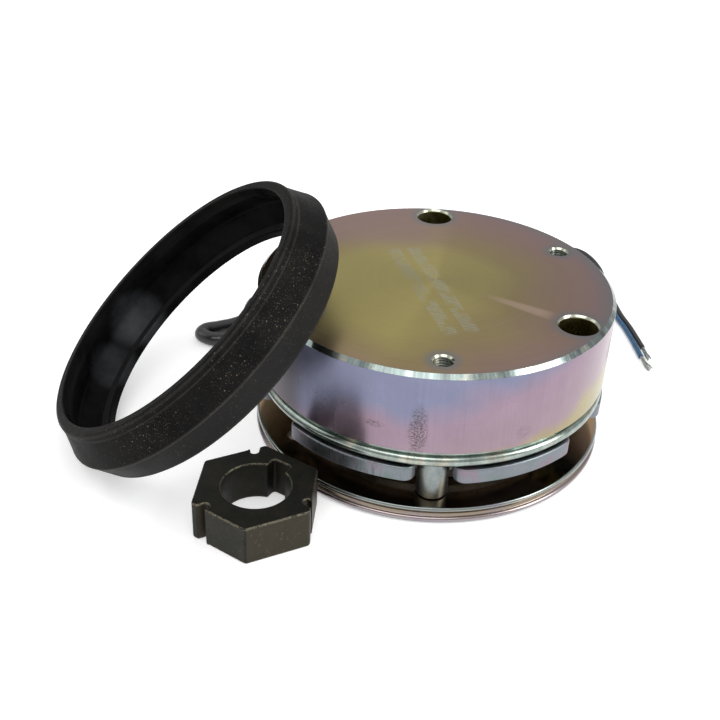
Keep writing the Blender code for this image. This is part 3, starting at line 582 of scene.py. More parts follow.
def rubber_skin(name, dust, roughness, shine=0.05, ring=None):
    """Moulded black rubber; dust is how thickly pale lint and grit lie on it. Ring is the matrix of
    the cover ring's own axes: its dusty outside is painted lighter grey along the edges and, as painted
    light, on the band behind the ridge; its inside gets painted sheen patches."""
    made = Finish(name, (0.012, 0.012, 0.013), roughness, 0.0, {"Specular IOR Level": shine})
    cloud = made.noise(9 * MM, 4.0, 0.6)
    grain = made.noise(0.28 * MM, 3.0, 0.7)
    base = made.ramp(cloud, (0.32, (0.0028, 0.0028, 0.0034)), (0.66, (0.0080, 0.0078, 0.0076)))
    rough = made.spread(cloud, 0.3, 0.7, roughness - 0.05, roughness + 0.08)
    height = grain
    if dust:
        where = made.spread(made.noise(14 * MM, 3.0, 0.6), 0.36, 0.62, 0.25, 1.0)
        lint = None
        for size, reach, bare, level in LINT:
            pick = made.node("ShaderNodeSeparateColor", {0: made.cells(size, "Color")}).outputs[0]
            near = made.spread(made.cells(size, "Distance"), reach, reach * 0.55)
            speck = made.product(near, made.calc("GREATER_THAN", pick, bare), level * dust)
            lint = speck if lint is None else made.calc("MAXIMUM", lint, speck)
        lint = made.product(lint, where)
        base = made.mix(lint, base, (0.125, 0.100, 0.068))
        film = made.spread(made.noise(2.4 * MM, 4.0, 0.7), 0.45, 0.75, 0.0, 0.06 * dust)
        base = made.mix(film, base, (0.045, 0.040, 0.032))
        height = made.total((grain, 1.0), (lint, 2.0))
    # Painted sheen: pale patches on the inner wall stand for the rubber's gloss.
    if ring and not dust:
        offset = made.vector_calc("SUBTRACT", made.place, tuple(ring.translation))
        outward = made.vector_calc("NORMALIZE", offset)
        for way, narrow, level in INNER_SHEEN_PATCHES:
            near = made.vector_calc("DOT_PRODUCT", outward, way, "Value")
            patch = made.product(made.spread(near, narrow, 1.0, 0.0, level), cloud)
            base = made.mix(patch, base, (0.110, 0.118, 0.128))
    if ring and dust:
        axis = ring.col[2].to_3d()
        depth = made.vector_calc("DOT_PRODUCT", made.place, tuple(axis), "Value")
        depth = made.calc("SUBTRACT", depth, ring.translation.dot(axis))
        # Painted light: the band behind the ridge is painted lighter, as it faces the light.
        behind = made.spread(depth, -9.6 * MM, -10.2 * MM, 0.0, 0.5)
        base = made.mix(behind, base, (0.022, 0.022, 0.022))
        # Lighter grey lines painted along the ring's edges and crease.
        for place, wide, level in RING_EDGE_LINES:
            off = made.calc("ABSOLUTE", made.calc("SUBTRACT", depth, place))
            rub = made.product(made.spread(off, wide, 0.1 * MM, 0.0, level), cloud)
            base = made.mix(rub, base, (0.080, 0.076, 0.066))
    return made.done(base, rough, made.bump(height, 0.012 * MM, 0.6))


def insulation(name, colour):
    made = Finish(name, colour, 0.32, 0.0, {"Coat Weight": 0.25, "Coat Roughness": 0.2})
    cloud = made.noise(3.0 * MM, 3.0, 0.6)
    dull = tuple(0.55 * c for c in colour)
    base = made.ramp(cloud, (0.32, dull), (0.66, colour))
    grain = made.noise(0.4 * MM, 3.0, 0.7)
    return made.done(base, made.spread(grain, 0.3, 0.7, 0.26, 0.42), made.bump(grain, 0.01 * MM, 0.5))


def speckled(name, dark, light, roughness, metallic, size, bump=0.02):
    """A plain finish with its grain: dark and light are the colours that the grain runs between."""
    made = Finish(name, light, roughness, metallic)
    grain = made.noise(size, 4.0, 0.7)
    cloud = made.noise(size * 9, 3.0, 0.6)
    base = made.ramp(made.total((cloud, 0.4), (grain, 0.6)), (0.34, dark), (0.62, light))
    rough = made.spread(cloud, 0.3, 0.7, roughness - 0.06, roughness + 0.08)
    return made.done(base, rough, made.bump(grain, bump * MM, 0.7))


# ---------------------------------------------------------------- shapes


def polar(radius, degrees, z=0.0):
    angle = math.radians(degrees)
    return Vector((radius * math.cos(angle), radius * math.sin(angle), z))


def arc(centre, radius, start, end, steps):
    found = []
    for i in range(steps + 1):
        angle = math.radians(start + (end - start) * i / steps)
        found.append((centre[0] + radius * math.cos(angle), centre[1] + radius * math.sin(angle)))
    return found


def softened(outline, radius, steps=4, closed=True):
    """The outline with its corners rounded; a point may give its own radius as a third value."""
    found = []
    count = len(outline)
    for i, corner in enumerate(outline):
        own = corner[2] if len(corner) > 2 else radius
        here = Vector(corner[:2])
        if own == 0 or (not closed and i in (0, count - 1)):
            found.append(tuple(here))
            continue
        before = Vector(outline[i - 1][:2]) - here
        after = Vector(outline[(i + 1) % count][:2]) - here
        half = before.angle(after) / 2
        reach = min(own / max(math.tan(half), 1e-6), 0.48 * before.length, 0.48 * after.length)
        if half > math.radians(87):
            found.append(tuple(here))
            continue
        start = here + before.normalized() * reach
        end = here + after.normalized() * reach
        for step in range(steps + 1):
            t = step / steps
            found.append(tuple(start * (1 - t) ** 2 + here * 2 * t * (1 - t) + end * t**2))
    return found


def object_from(name, shape, sharp=32):
    """An object that holds the bmesh shape, shaded smooth but for its sharp edges."""
    shape.normal_update()
    bmesh.ops.recalc_face_normals(shape, faces=shape.faces)
    mesh = bpy.data.meshes.new(name)
    shape.to_mesh(mesh)
    shape.free()
    mesh.shade_smooth()
    mesh.set_sharp_from_angle(angle=math.radians(sharp))
    made = bpy.data.objects.new(name, mesh)
    bpy.context.scene.collection.objects.link(made)
    return made


def add_turned(shape, outline, segments, matrix=None, closed=True):
    """Turns an outline of (radius, height) points about Z, then places it by the matrix."""
    matrix = matrix or Matrix.Identity(4)
    rings = []
    for radius, height in outline:
        if radius < 1e-7:
            rings.append([shape.verts.new(matrix @ Vector((0, 0, height)))])
            continue
        turns = range(segments)
        rings.append([shape.verts.new(matrix @ polar(radius, 360 * i / segments, height)) for i in turns])
    pairs = list(zip(rings, rings[1:]))
    if closed:
        pairs.append((rings[-1], rings[0]))
    for upper, lower in pairs:
        for i in range(segments):
            corners = [upper[i % len(upper)], lower[i % len(lower)]]
            corners += [lower[(i + 1) % len(lower)], upper[(i + 1) % len(upper)]]
            unique = list(dict.fromkeys(corners))
            if len(unique) > 2:
                shape.faces.new(unique)


def turned(name, outline, segments=192, matrix=None, closed=True, sharp=32):
    shape = bmesh.new()
    add_turned(shape, outline, segments, matrix, closed)
    return object_from(name, shape, sharp)


def cut(piece, shape, sharp=32):
    """Cuts the bmesh shape's bodies out of the piece, for good."""
    cutter = object_from("cutter", shape)
    boolean = piece.modifiers.new("cut", "BOOLEAN")
    boolean.operation = "DIFFERENCE"
    boolean.solver = "EXACT"
    boolean.object = cutter
    apply_modifiers(piece)
    bpy.data.objects.remove(cutter)
    piece.data.shade_smooth()
    piece.data.set_sharp_from_angle(angle=math.radians(sharp))
    even_normals(piece)


def apply_modifiers(piece):
    graph = bpy.context.evaluated_depsgraph_get()
    mesh = bpy.data.meshes.new_from_object(piece.evaluated_get(graph))
    piece.modifiers.clear()
    piece.data = mesh


def even_normals(piece):
    """Keeps flat faces flat where they meet small rounded edges."""
    weighted = piece.modifiers.new("normals", "WEIGHTED_NORMAL")
    weighted.keep_sharp = True
    weighted.weight = 100


def cut_plate(name, outlines, low, high, edge):
    """A plate of these closed outlines, the first its outside and the rest its holes, with every
    rim edge rounded by edge."""
    curve = bpy.data.curves.new(name, "CURVE")
    curve.dimensions = "2D"
    curve.fill_mode = "BOTH"
    curve.extrude = (high - low) / 2 - edge
    curve.bevel_depth = edge
    curve.bevel_resolution = 3
    curve.offset = -edge
    for outline in outlines:
        spline = curve.splines.new("POLY")
        spline.points.add(len(outline) - 1)
        for point, (x, y) in zip(spline.points, outline):
            point.co = (x, y, 0, 1)
        spline.use_cyclic_u = True
    guide = bpy.data.objects.new(name + "_outline", curve)
    bpy.context.scene.collection.objects.link(guide)
    bpy.context.view_layer.update()
    graph = bpy.context.evaluated_depsgraph_get()
    mesh = bpy.data.meshes.new_from_object(guide.evaluated_get(graph))
    bpy.data.objects.remove(guide)
    shape = bmesh.new()
    shape.from_mesh(mesh)
    bmesh.ops.remove_doubles(shape, verts=shape.verts, dist=0.002 * MM)
    bmesh.ops.translate(shape, verts=shape.verts, vec=(0, 0, (low + high) / 2))
    piece = object_from(name, shape)
    even_normals(piece)
    return piece


def finish_with(piece, *materials):
    piece.data.materials.clear()
    for found in materials:
        piece.data.materials.append(found)


def sort_faces(piece, choose):
    """Gives each face the material whose number choose(centre, normal) returns."""
    for face in piece.data.polygons:
        face.material_index = choose(face.center, face.normal)


def settle(piece, body, slot, *nodes):
    """Rides the piece on its body in place of the CAD nodes."""
    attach(piece, body)
    if nodes:
        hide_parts(*nodes)
    return piece


def hole_outline(radius, low, chamfer=HOLE_CHAMFER, threads=0):
    """The outline of a hole's cutter, from above the surface at z = 0 down to low."""
    found = [(0, OVERCUT), (radius + chamfer + OVERCUT, OVERCUT), (radius + chamfer, 0)]
    found += [(radius + 0.25 * chamfer, -0.75 * chamfer), (radius + 0.06 * chamfer, -1.02 * chamfer)]
    for i in range(threads):
        top = -1.4 * chamfer - i * THREAD_PITCH
        found += [(radius, top), (radius - THREAD_DEPTH, top - THREAD_PITCH / 2)]
    found += [(radius, -1.6 * chamfer - threads * THREAD_PITCH), (radius, low), (0, low)]
    return found


def bore_outline(radius, start, end):
    """The outline of a plain bore's cutter between two heights."""
    return [(0, start), (radius, start), (radius, end), (0, end)]


def on_circle(degrees):
    """Moves a piece from the axis to its place on the bolt circle."""
    return Matrix.Translation(polar(BOLT_CIRCLE_RADIUS, degrees))


def drill(holes, outline, segments, angles):
    """Adds one cutter to the bmesh holes at each of these angles on the bolt circle."""
    for degrees in angles:
        add_turned(holes, outline, segments, on_circle(degrees), False)


def make_housing():
    low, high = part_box("magnet_housing")
    side = high.x
    bottom = low.z
    groove = side - SEAL_GROOVE_DEPTH
    bead_top = bottom + BEAD_HEIGHT
    bead = BEAD_HEIGHT / 2
    groove_top = bead_top + SEAL_GROOVE_WIDTH
    fine = 0.12 * MM
    outline = softened(
        [
            (0, 0, 0), (side - HOUSING_CHAMFER, 0, fine), (side, -HOUSING_CHAMFER, fine),
            (side, groove_top + SEAL_GROOVE_DEPTH / 3, 0.3 * MM), (groove, groove_top, 0.3 * MM),
            (groove, bead_top - 0.1 * MM, 0),
            *[(*p, 0) for p in arc((side - bead, bottom + bead), bead, 72, -72, 22)],
            (groove - 0.4 * MM, bottom, 0.1 * MM),
            (COIL_OUTER_RADIUS, bottom, 0.2 * MM), (COIL_OUTER_RADIUS, bottom + COIL_DEPTH, fine),
            (COIL_INNER_RADIUS, bottom + COIL_DEPTH, fine), (COIL_INNER_RADIUS, bottom, 0.2 * MM),
            (SHAFT_POCKET_RADIUS, bottom, 0.4 * MM), (SHAFT_POCKET_RADIUS, bottom + SHAFT_POCKET_DEPTH, fine),
            (0, bottom + SHAFT_POCKET_DEPTH, 0),
        ],
        fine, steps=3, closed=False,
    )
    housing = turned("housing_turned", outline, 256, closed=False)
    holes = bmesh.new()
    below = bottom - OVERCUT
    drill(holes, hole_outline(MOUNTING_HOLE_RADIUS, below), 64, MOUNTING_ANGLES)
    drill(holes, hole_outline(SCREW_HOLE_RADIUS, below, threads=THREADS), 48, SCREW_ANGLES)
    pocket = bore_outline(SPRING_POCKET_RADIUS, bottom + SPRING_POCKET_DEPTH, below)
    drill(holes, pocket, 40, SPRING_ANGLES)
    reach = bore_outline(GROMMET_HOLE_RADIUS, COIL_OUTER_RADIUS - OVERCUT, side + OVERCUT)
    add_turned(holes, reach, 40, lead_axis(), False)
    cut(housing, holes)
    axes = [(polar(BOLT_CIRCLE_RADIUS, a), MOUNTING_HOLE_RADIUS) for a in MOUNTING_ANGLES]
    axes += [(polar(BOLT_CIRCLE_RADIUS, a), SCREW_HOLE_RADIUS) for a in SCREW_ANGLES]

    def choose(centre, normal):
        radius = math.hypot(centre.x, centre.y)
        if normal.z > 0.999 and centre.z > -0.01 * MM:
            return 0
        for axis, hole in axes:
            if math.hypot(centre.x - axis.x, centre.y - axis.y) < hole + HOLE_CHAMFER:
                if centre.z > -HOLE_CHAMFER * 1.1:
                    return 4
                return 6 if hole == MOUNTING_HOLE_RADIUS else 7
        if centre.z > -HOUSING_CHAMFER - 0.02 * MM and radius > side - HOUSING_CHAMFER - 0.1 * MM:
            return 2
        if centre.z < groove_top + 0.5 * MM and radius > groove - 0.5 * MM:
            return 3
        return 1 if radius > side - 0.5 * MM else 5

    finish_with(
        housing, zinc_top(), zinc_side(),
        zinc_bright("zinc_chamfer", (0.22, 0.265, 0.255), 0.18, 0.55),
        zinc_bright("zinc_bead", (0.29, 0.34, 0.31), 0.20, 0.25),
        zinc_bright("zinc_hole_edge", (0.45, 0.47, 0.38), 0.18),
        zinc_bright("zinc_inside", (0.34, 0.36, 0.30), 0.30),
        zinc_bright("zinc_bore", (0.34, 0.30, 0.12), 0.30),
        zinc_bright("zinc_thread", (0.085, 0.095, 0.080), 0.35),
    )
    sort_faces(housing, choose)
    return settle(housing, "brake", "yellow_zinc", "magnet_housing")


def lead_axis():
    return (
        Matrix.Translation((0, 0, TABLE + LEAD_HEIGHT))
        @ Matrix.Rotation(math.radians(LEAD_ANGLE), 4, "Z")
        @ Matrix.Rotation(math.radians(90), 4, "Y")
    )


def notched_outline(radius, notches):
    """A circle's outline cut by slots with round inner ends; notches are (degrees, half width)."""
    found = []
    notches = sorted((degrees % 360, half) for degrees, half in notches)
    corner = NOTCH_CORNER_RADIUS
    spans = []
    for degrees, half in notches:
        across = half + corner
        along = math.sqrt((radius - corner) ** 2 - across**2)
        swing = math.degrees(math.atan2(across, along))
        spans.append((degrees, half, across, along, swing))
    for i, (degrees, half, across, along, swing) in enumerate(spans):
        turn = Matrix.Rotation(math.radians(degrees), 2)
        points = arc((along, -across), corner, -swing, 90, 8)
        points += arc((BOLT_CIRCLE_RADIUS, 0), half, -90, -270, 28)
        points += arc((along, across), corner, -90, swing, 8)
        found += [tuple(turn @ Vector(p)) for p in points]
        following = spans[(i + 1) % len(spans)]
        start = degrees + swing
        end = following[0] - following[4] + (360 if following[0] < degrees else 0)
        steps = max(2, round((end - start) / 1.2))
        found += arc((0, 0), radius, start, end, steps)[1:-1]
    return found


def make_armature():
    low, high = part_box("armature_plate")
    notches = [(a, SLEEVE_NOTCH_RADIUS) for a in SCREW_ANGLES]
    notches += [(a, MOUNTING_NOTCH_RADIUS) for a in MOUNTING_ANGLES]
    outside = notched_outline(max(high.x, high.y, -low.x), notches)
    bore = arc((0, 0), ARMATURE_BORE_RADIUS, 0, -360, 160)[:-1]
    armature = cut_plate("armature_ground", [outside, bore], low.z, high.z, 0.5 * MM)
    finish_with(armature, ground_steel())
    return settle(armature, "armature", "armature_steel", "armature_plate")


def make_flange():
    low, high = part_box("flange_plate")
    rim = high.x
    top = high.z
    groove = rim - RIM_GROOVE_DEPTH
    bead = RIM_BEAD_RADIUS
    outline = softened(
        [
            (FLANGE_BORE_RADIUS, top, 0.3 * MM), (rim - 0.9 * MM, top, 0.25 * MM),
            (rim - 0.45 * MM, top - 0.05 * MM, 0.3 * MM),
            (rim, top - 0.75 * MM, 0.4 * MM), (groove + 0.35 * MM, top - 1.35 * MM, 0.3 * MM),
            (groove, top - 2.3 * MM, 0.8 * MM), (groove + 0.15 * MM, TABLE + 2 * bead + 0.75 * MM, 0.2 * MM),
            *[(*p, 0) for p in arc((rim - bead, TABLE + 0.6 * MM + bead), bead, 82, -70, 14)],
            (rim - 1.0 * MM, TABLE, 0.2 * MM), (FLANGE_BORE_RADIUS, TABLE, 0.3 * MM),
        ],
        0.2 * MM, steps=4,
    )
    flange = turned("flange_turned", outline, 256)
    below = low.z - OVERCUT
    above = top + OVERCUT
    holes = bmesh.new()
    drill(holes, bore_outline(MOUNTING_BOLT_HOLE_RADIUS, above, below), 48, MOUNTING_ANGLES)
    step = TABLE + COUNTERBORE_DEPTH
    outline = [(0, above), (FLANGE_SCREW_HOLE_RADIUS, above), (FLANGE_SCREW_HOLE_RADIUS, step)]
    outline += [(COUNTERBORE_RADIUS, step), (COUNTERBORE_RADIUS, TABLE + 0.3 * MM)]
    outline += [(COUNTERBORE_RADIUS + 0.5 * MM, below), (0, below)]
    drill(holes, outline, 48, SCREW_ANGLES)
    cut(flange, holes)

    def choose(centre, normal):
        radius = math.hypot(centre.x, centre.y)
        if normal.z > 0.99 and radius < rim - 0.9 * MM:
            return 0
        return 1 if radius > rim - 2 * MM else 2

    finish_with(
        flange, flange_face(), flange_rim(),
        speckled("flange_ground", (0.20, 0.18, 0.15), (0.36, 0.33, 0.28), 0.30, 1.0, 0.5 * MM, 0.008),
    )
    sort_faces(flange, choose)
    return settle(flange, "brake", "flange_steel", "flange_plate")


def make_sleeves():
    finish = sleeve_zinc()
    for number, degrees in enumerate(SCREW_ANGLES, 1):
        node = f"spacer_sleeve_{number}"
        low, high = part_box(node)
        outer = (high.x - low.x) / 2
        inner = outer - SLEEVE_WALL
        outline = softened([(outer, high.z), (outer, low.z), (inner, low.z), (inner, high.z)], 0.3 * MM)
        sleeve = turned(f"sleeve_turned_{number}", outline, 96, on_circle(degrees))
        finish_with(sleeve, finish)
        settle(sleeve, "brake", "sleeve_steel", node)


def make_screws():
    finish = speckled("screw_black", (0.05, 0.05, 0.055), (0.12, 0.12, 0.125), 0.36, 1.0, 0.4 * MM, 0.01)
    for number, degrees in enumerate(SCREW_ANGLES, 1):
        node = f"assembly_screw_{number}"
        low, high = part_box(node)
        head = low.z + SCREW_HEAD_HEIGHT
        outline = softened(
            [
                (0, high.z, 0), (SCREW_RADIUS, high.z, 0.5 * MM), (SCREW_RADIUS, head, 0.2 * MM),
                (SCREW_HEAD_RADIUS, head, 0.15 * MM), (SCREW_HEAD_RADIUS, low.z, 0.5 * MM), (0, low.z, 0),
            ],
            0, steps=4, closed=False,
        )
        screw = turned(f"screw_turned_{number}", outline, 64, on_circle(degrees), False)
        socket = bmesh.new()
        hexagon = bore_outline(SOCKET_FLATS / math.sqrt(3), low.z + SOCKET_DEPTH, low.z - OVERCUT)
        drill(socket, hexagon, 6, [degrees])
        cut(screw, socket)
        finish_with(screw, finish)
        settle(screw, "brake", "screw_steel", node)


def hub_outline():
    """The hexagon with rounded corners and a slot beside every other corner, about its own centre."""
    reach = HUB_FLATS / math.sqrt(3)
    half = HUB_SLOT_WIDTH / 2
    near, far = HUB_SLOT_OFFSET - half, HUB_SLOT_OFFSET + half
    floor = reach - HUB_SLOT_DEPTH + half
    found = []
    for side in range(6):
        corner = [(reach, 0, 1.3 * MM)]
        if side % 2 == 0:
            corner += [(reach - near / math.sqrt(3), near, 0.5 * MM)]
            corner += [(*p, 0) for p in arc((floor, HUB_SLOT_OFFSET), half, -90, -270, 14)]
            corner += [(reach - far / math.sqrt(3), far, 0.6 * MM)]
        turn = Matrix.Rotation(math.radians(HUB_CORNER_ANGLE + 60 * side), 2)
        found += [(*(turn @ Vector(p[:2])), p[2]) for p in corner]
    return softened(found, 0, steps=6)


def make_hub():
    low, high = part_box("hub")
    centre = hub_centre()
    half = HUB_KEYWAY_WIDTH / 2
    swing = math.degrees(math.asin(half / HUB_BORE_RADIUS))
    bore = [(*p, 0) for p in arc((0, 0), HUB_BORE_RADIUS, swing, 360 - swing, 72)]
    bore[0] = (*bore[0][:2], 0.35 * MM)
    bore[-1] = (*bore[-1][:2], 0.35 * MM)
    bore += [(HUB_KEYWAY_RADIUS, -half, 1.0 * MM), (HUB_KEYWAY_RADIUS, half, 1.0 * MM)]
    turn = Matrix.Rotation(math.radians(HUB_KEYWAY_ANGLE), 2)
    bore = [(*(turn @ Vector(p[:2])), p[2]) for p in bore]
    inside = softened(bore, 0, steps=5)[::-1]
    hub = cut_plate("hub_machined", [hub_outline(), inside], low.z, high.z, HUB_EDGE)
    hub.data.transform(Matrix.Translation((centre.x, centre.y, 0)))

    def choose(point, normal):
        flat = abs(normal.z) > 0.98 or abs(normal.z) < 0.10
        if not flat:
            return 1
        away = math.hypot(point.x - centre.x, point.y - centre.y)
        return 2 if abs(normal.z) < 0.10 and away > 13.5 * MM else 0

    finish_with(hub, oxide("hub_oxide", 0.0), oxide("hub_edge", 0.75), oxide("hub_side", 0.22, 0.6))
    sort_faces(hub, choose)
    return settle(hub, "loose_hub", "hub_steel", "hub")


def hub_centre():
    """The middle of the hub's lowest corners, which the slots leave even all round."""
    low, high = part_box("hub")
    return Vector(((low.x + high.x) / 2, (low.y + high.y) / 2, 0))


def ring_frame():
    """Takes +Z at the origin to the cover ring's axis, out of the middle of its front lip."""
    points = np.array([v.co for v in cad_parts["cover_ring"].data.vertices])
    points = np.unique(points.round(7), axis=0)
    middle = points.mean(0)
    axis = Vector(np.linalg.eigh(np.cov((points - middle).T))[1][:, 0])
    if axis.z < 0:
        axis.negate()
    middle = Vector(middle)
    reach = max((Vector(p) - middle).dot(axis) for p in points)
    return Matrix.Translation(middle + axis * reach) @ axis.to_track_quat("Z", "Y").to_matrix().to_4x4()


def make_cover_ring():
    """The moulded ring: parting step by the front lip, conical wall, ridge, back band and inner lip."""
    front, ridge, back = RING_FRONT_RADIUS, RING_RIDGE_RADIUS, RING_BACK_RADIUS
    width, place, wall, lip = RING_WIDTH, RING_RIDGE_PLACE, RING_WALL, RING_LIP_THICK
    lip_inner = back - wall - RING_LIP_DEPTH
    outline = [
        (front - wall, 0, 0.5 * MM), (front - 0.9 * MM, 0, 0.6 * MM),
        (front - 0.1 * MM, -0.5 * MM, 0.5 * MM), (front + 0.25 * MM, -1.9 * MM, 0.25 * MM),
        (front + 0.05 * MM, -2.05 * MM, 0.1 * MM), (front + 0.18 * MM, -2.35 * MM, 0.1 * MM),
        (ridge - 0.45 * MM, 0.5 * MM - place, 0.5 * MM), (ridge, -0.2 * MM - place, 0.35 * MM),
        (ridge - 0.25 * MM, -0.6 * MM - place, 0.3 * MM), (back + 0.15 * MM, 0.9 * MM - width, 0.9 * MM),
        (back - 0.9 * MM, -width, 0.7 * MM), (lip_inner, -width, 0.4 * MM),
        (lip_inner, lip - width, 0.5 * MM), (back - wall, lip + 0.5 * MM - width, 0.7 * MM),
        (ridge - wall, -place, 2.5 * MM), (front - wall + 0.4 * MM, -lip - 1.5 * MM, 2.0 * MM),
        (front - wall, -lip, 0.6 * MM),
    ]
    outline = softened(outline, 0, steps=5)
    matrix = ring_frame()
    ring = turned("cover_ring_moulded", outline, 240, matrix, sharp=50)
    inverse = matrix.inverted()

    def choose(centre, normal):
        spot = inverse @ centre
        outward = spot.xy.normalized().dot((inverse.to_3x3() @ normal).xy)
        return 1 if outward < -0.2 else 0

    outside = rubber_skin("rubber_dusty", 1.0, 0.52, 0.05, matrix)
    finish_with(ring, outside, rubber_skin("rubber_inside", 0.0, 0.30, 0.02, matrix))
    sort_faces(ring, choose)
    return settle(ring, "loose_ring", "rubber", "cover_ring")


def smooth_route(route, samples):
    """Points of a Catmull-Rom curve through a route given in millimetres above the table."""
    points = [Vector((x * MM, y * MM, TABLE + height * MM)) for x, y, height in route]
    points = [2 * points[0] - points[1], *points, 2 * points[-1] - points[-2]]
    found = []
    for a, b, c, d in zip(points, points[1:], points[2:], points[3:]):
        square = 2 * a - 5 * b + 4 * c - d
        cube = 3 * b - a - 3 * c + d
        for i in range(samples):
            t = i / samples
            found.append(0.5 * (2 * b + (c - a) * t + square * t**2 + cube * t**3))
    return [*found, points[-2]]


def frames_along(points):
    """(tangent, side, up) at each point, turning as little as they can."""
    tangents = []
    for i in range(len(points)):
        tangents.append((points[min(i + 1, len(points) - 1)] - points[max(i - 1, 0)]).normalized())
    up = Vector((0, 0, 1))
    found = []
    for tangent in tangents:
        side = tangent.cross(up).normalized()
        up = side.cross(tangent).normalized()
        found.append((tangent, side, up))
    return found


def path_length(points):
    return sum((b - a).length for a, b in zip(points, points[1:]))


def twisted(route, phase, twist_end):
    """The centre line of one wire of the pair: a helix about the route that fades out after twist_end."""
    centre = smooth_route(route, 12)
    run = 0.0
    found = []
    for i, (point, (_, side, up)) in enumerate(zip(centre, frames_along(centre))):
        if i:
            run += (point - centre[i - 1]).length
        start = min(1.0, 0.55 + run / (10 * MM))
        fade = min(1.0, max(0.0, (twist_end - run) / (9 * MM) + 1.0))
        fade = fade * fade * (3 - 2 * fade)
        angle = 2 * math.pi * (run - twist_end) / TWIST_PITCH + phase + TWIST_TURN
        offset = side * math.cos(angle) + up * math.sin(angle)
        found.append(point + offset * (TWIST_RADIUS * start * fade))
    return found


def tube(name, lines, radius, material, resolution=4):
    """A curve object of one open spline for each line."""
    curve = bpy.data.curves.new(name, "CURVE")
    curve.dimensions = "3D"
    curve.bevel_depth = radius
    curve.bevel_resolution = resolution
    curve.use_fill_caps = True
    for line in lines:
        spline = curve.splines.new("POLY")
        spline.points.add(len(line) - 1)
        for point, place in zip(spline.points, line):
            point.co = (*place, 1.0)
        spline.use_smooth = True
    made = bpy.data.objects.new(name, curve)
    bpy.context.scene.collection.objects.link(made)
    curve.materials.append(material)
    return made


def strands(name, route, seed, material):
    """The bared end: tinned strands in a loose bundle that frays towards its tip."""
    rng = random.Random(seed)
    centre = smooth_route(route, 6)
    lines = []
    frames = frames_along(centre)
    places = [(0.0, 0.0)] + [(0.28, 60 * i) for i in range(6)] + [(0.50, 40 * i + 15) for i in range(9)]
    for reach, degrees in places:
        splay = rng.uniform(0.0, 0.9) * (0.4 + reach)
        lean = rng.uniform(-40, 40)
        drop = rng.randint(0, 2)
        line = []
        last = len(centre) - 1
        for i, (point, (_, side, up)) in enumerate(zip(centre, frames)):
            t = i / last
            angle = math.radians(degrees + 70 * t + lean * t * t)
            out = (reach + splay * t * t) * MM
            place = point + side * (out * math.cos(angle)) + up * (out * math.sin(angle))
            place.z = max(place.z, TABLE + 0.16 * MM)
            line.append(place)
        lines.append(line[: len(line) - drop])
    return tube(name, lines, STRAND_RADIUS, material, 2)


def make_sleeve():
    """The black tubing over the pair's first stretch, from the grommet round its bend."""
    line = smooth_route(LEAD_ROUTE[:SLEEVE_POINTS], 12)
    for point in line:
        point.z = max(point.z, TABLE + SLEEVE_RADIUS + 0.03 * MM)
    black = insulation("sleeve_black", (0.006, 0.006, 0.0065))
    sleeve = tube("lead_sleeve", [line], SLEEVE_RADIUS, black, 6)
    for point in sleeve.data.splines[0].points:
        rise = (point.co.z - TABLE - SLEEVE_RADIUS) / (8 * MM)
        point.radius = 1 - SLEEVE_TAPER * min(1, max(0, rise))
    return settle(sleeve, "brake", "black_insulation", "lead_pair")


def make_leads():
    on_black = [make_sleeve(), make_grommet()]
    split = path_length(smooth_route(LEAD_ROUTE, 12))
    tinned = speckled("tinned_strands", (0.30, 0.31, 0.30), (0.62, 0.64, 0.62), 0.28, 1.0, 0.5 * MM, 0.004)
    ends = (
        ("black", BLACK_END_ROUTE, BLACK_CONDUCTOR_ROUTE, 0.0, (0.010, 0.010, 0.011), 3),
        ("blue", BLUE_END_ROUTE, BLUE_CONDUCTOR_ROUTE, math.pi, (0.004, 0.085, 0.20), 8),
    )
    for colour, end_route, bare_route, phase, tint, seed in ends:
        bare = strands(f"strands_{colour}", bare_route, seed, tinned)
        settle(bare, "brake", "tinned_copper", f"conductor_{colour}")
        line = twisted(LEAD_ROUTE + end_route, phase, split)
        wire = tube(f"lead_{colour}", [line], WIRE_RADIUS, insulation(f"pvc_{colour}", tint))
        settle(wire, "brake", f"{colour}_insulation", "lead_pair", f"lead_{colour}_end")
        path_length(line)


def make_grommet():
    """The rubber bush where the leads leave: a domed collar outside the housing's wall."""
    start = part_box("magnet_housing")[1].x + 0.3 * MM
    inner = COIL_OUTER_RADIUS + 0.6 * MM
    collar = GROMMET_COLLAR_RADIUS
    outline = softened(
        [
            (0, start + 1.5 * MM, 0), (2.3 * MM, start + 1.7 * MM, 0.3 * MM),
            (collar - 0.5 * MM, start + 1.3 * MM, 0.6 * MM), (collar, start + 0.4 * MM, 0.3 * MM),
            (collar, start, 0.15 * MM), (GROMMET_RADIUS, start, 0.1 * MM),
            (GROMMET_RADIUS, inner, 0.3 * MM), (0, inner, 0),
        ],
        0, steps=5, closed=False,
    )
    grommet = turned("grommet_moulded", outline, 64, lead_axis(), False)
    finish_with(grommet, rubber_skin("rubber_grommet", 0.3, 0.5))
    return settle(grommet, "brake", "rubber", "lead_grommet")


def finish_cad_nodes():
    """Finishes for the inner pieces, which keep their CAD shapes."""
    for name, dark, light, roughness, metallic, size, bump, nodes in CAD_FINISHES:
        material = speckled(name, dark, light, roughness, metallic, size, bump)
        for node in nodes:
            finish_with(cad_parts[node], material)


# ---------------------------------------------------------------- stage


def add_light(name, place, size, power):
    """A rectangular area light that points at the origin."""
    data = bpy.data.lights.new(name, "AREA")
    data.shape = "RECTANGLE"
    data.size, data.size_y = size
    data.energy = power
    light = bpy.data.objects.new(name, data)
    bpy.context.scene.collection.objects.link(light)
    light.location = place
    light.rotation_euler = (-Vector(place)).to_track_quat("-Z", "Y").to_euler()


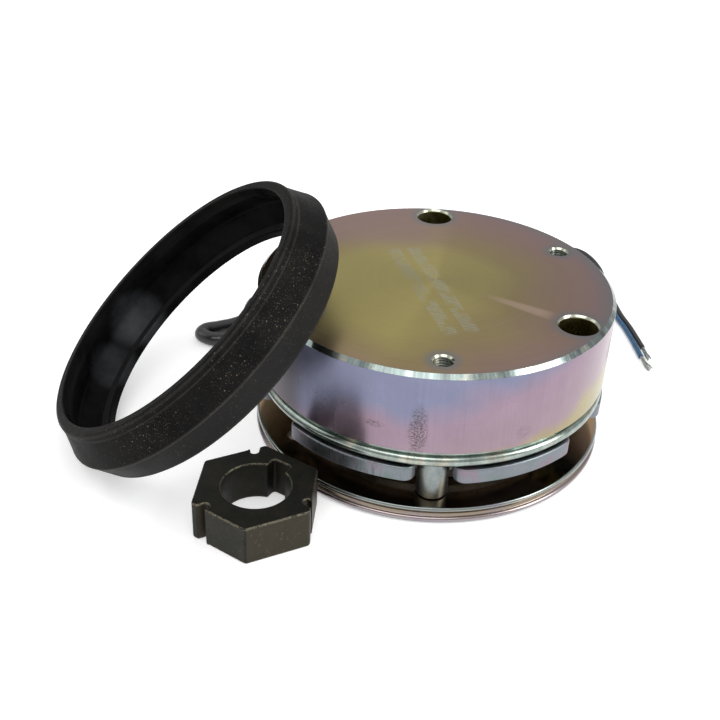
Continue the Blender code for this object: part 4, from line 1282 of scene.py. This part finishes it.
def make_world():
    """Soft studio surroundings: pale grey, brighter overhead."""
    world = bpy.data.worlds.new("studio")
    bpy.context.scene.world = world
    world.use_nodes = True
    nodes, links = world.node_tree.nodes, world.node_tree.links
    direction = nodes.new("ShaderNodeTexCoord").outputs["Generated"]
    apart = nodes.new("ShaderNodeSeparateXYZ")
    links.new(direction, apart.inputs[0])
    ramp = nodes.new("ShaderNodeValToRGB")
    set_stops(ramp, [(height, (grey,) * 3) for height, grey in WORLD_GREYS])
    links.new(apart.outputs[2], ramp.inputs[0])
    links.new(ramp.outputs[0], nodes["Background"].inputs["Color"])


def make_floor():
    shape = bmesh.new()
    bmesh.ops.create_circle(shape, cap_ends=True, segments=96, radius=FLOOR_RADIUS)
    bmesh.ops.translate(shape, verts=shape.verts, vec=(0, 0, TABLE - 0.05 * MM))
    floor = object_from("floor", shape)
    made = Finish("pale_floor", (0.86, 0.86, 0.86), 0.9)
    made.shader.inputs["Emission Color"].default_value = (1, 1, 1, 1)
    made.shader.inputs["Emission Strength"].default_value = FLOOR_GLOW
    made.put(made.shader.inputs["Specular IOR Level"], 0.0)
    paper = made.noise(60 * MM, 2.0)
    finish_with(floor, made.done(made.ramp(paper, (0.3, (0.85,) * 3), (0.7, (0.87,) * 3))))


def make_camera():
    data = bpy.data.cameras.new("camera")
    data.lens = CAMERA_LENS
    data.sensor_width = 36
    data.clip_start = 0.01
    camera = bpy.data.objects.new("camera", data)
    bpy.context.scene.collection.objects.link(camera)
    right = Vector((1, 0, 0))
    up = Vector((0, math.sin(CAMERA_TILT), math.cos(CAMERA_TILT)))
    back = Vector((0, -math.cos(CAMERA_TILT), math.sin(CAMERA_TILT)))
    across = right * math.cos(CAMERA_ROLL) + up * math.sin(CAMERA_ROLL)
    above = up * math.cos(CAMERA_ROLL) - right * math.sin(CAMERA_ROLL)
    turn = Matrix((across, above, back)).transposed().to_4x4()
    camera.matrix_world = Matrix.Translation(CAMERA_PLACE) @ turn
    bpy.context.scene.camera = camera


make_camera()
make_leads()
make_housing()
make_armature()
make_flange()
make_sleeves()
make_screws()
make_hub()
make_cover_ring()
finish_cad_nodes()
make_world()
make_floor()
for light_settings in LIGHTS:
    add_light(*light_settings)
bpy.context.scene.view_settings.view_transform = "Standard"
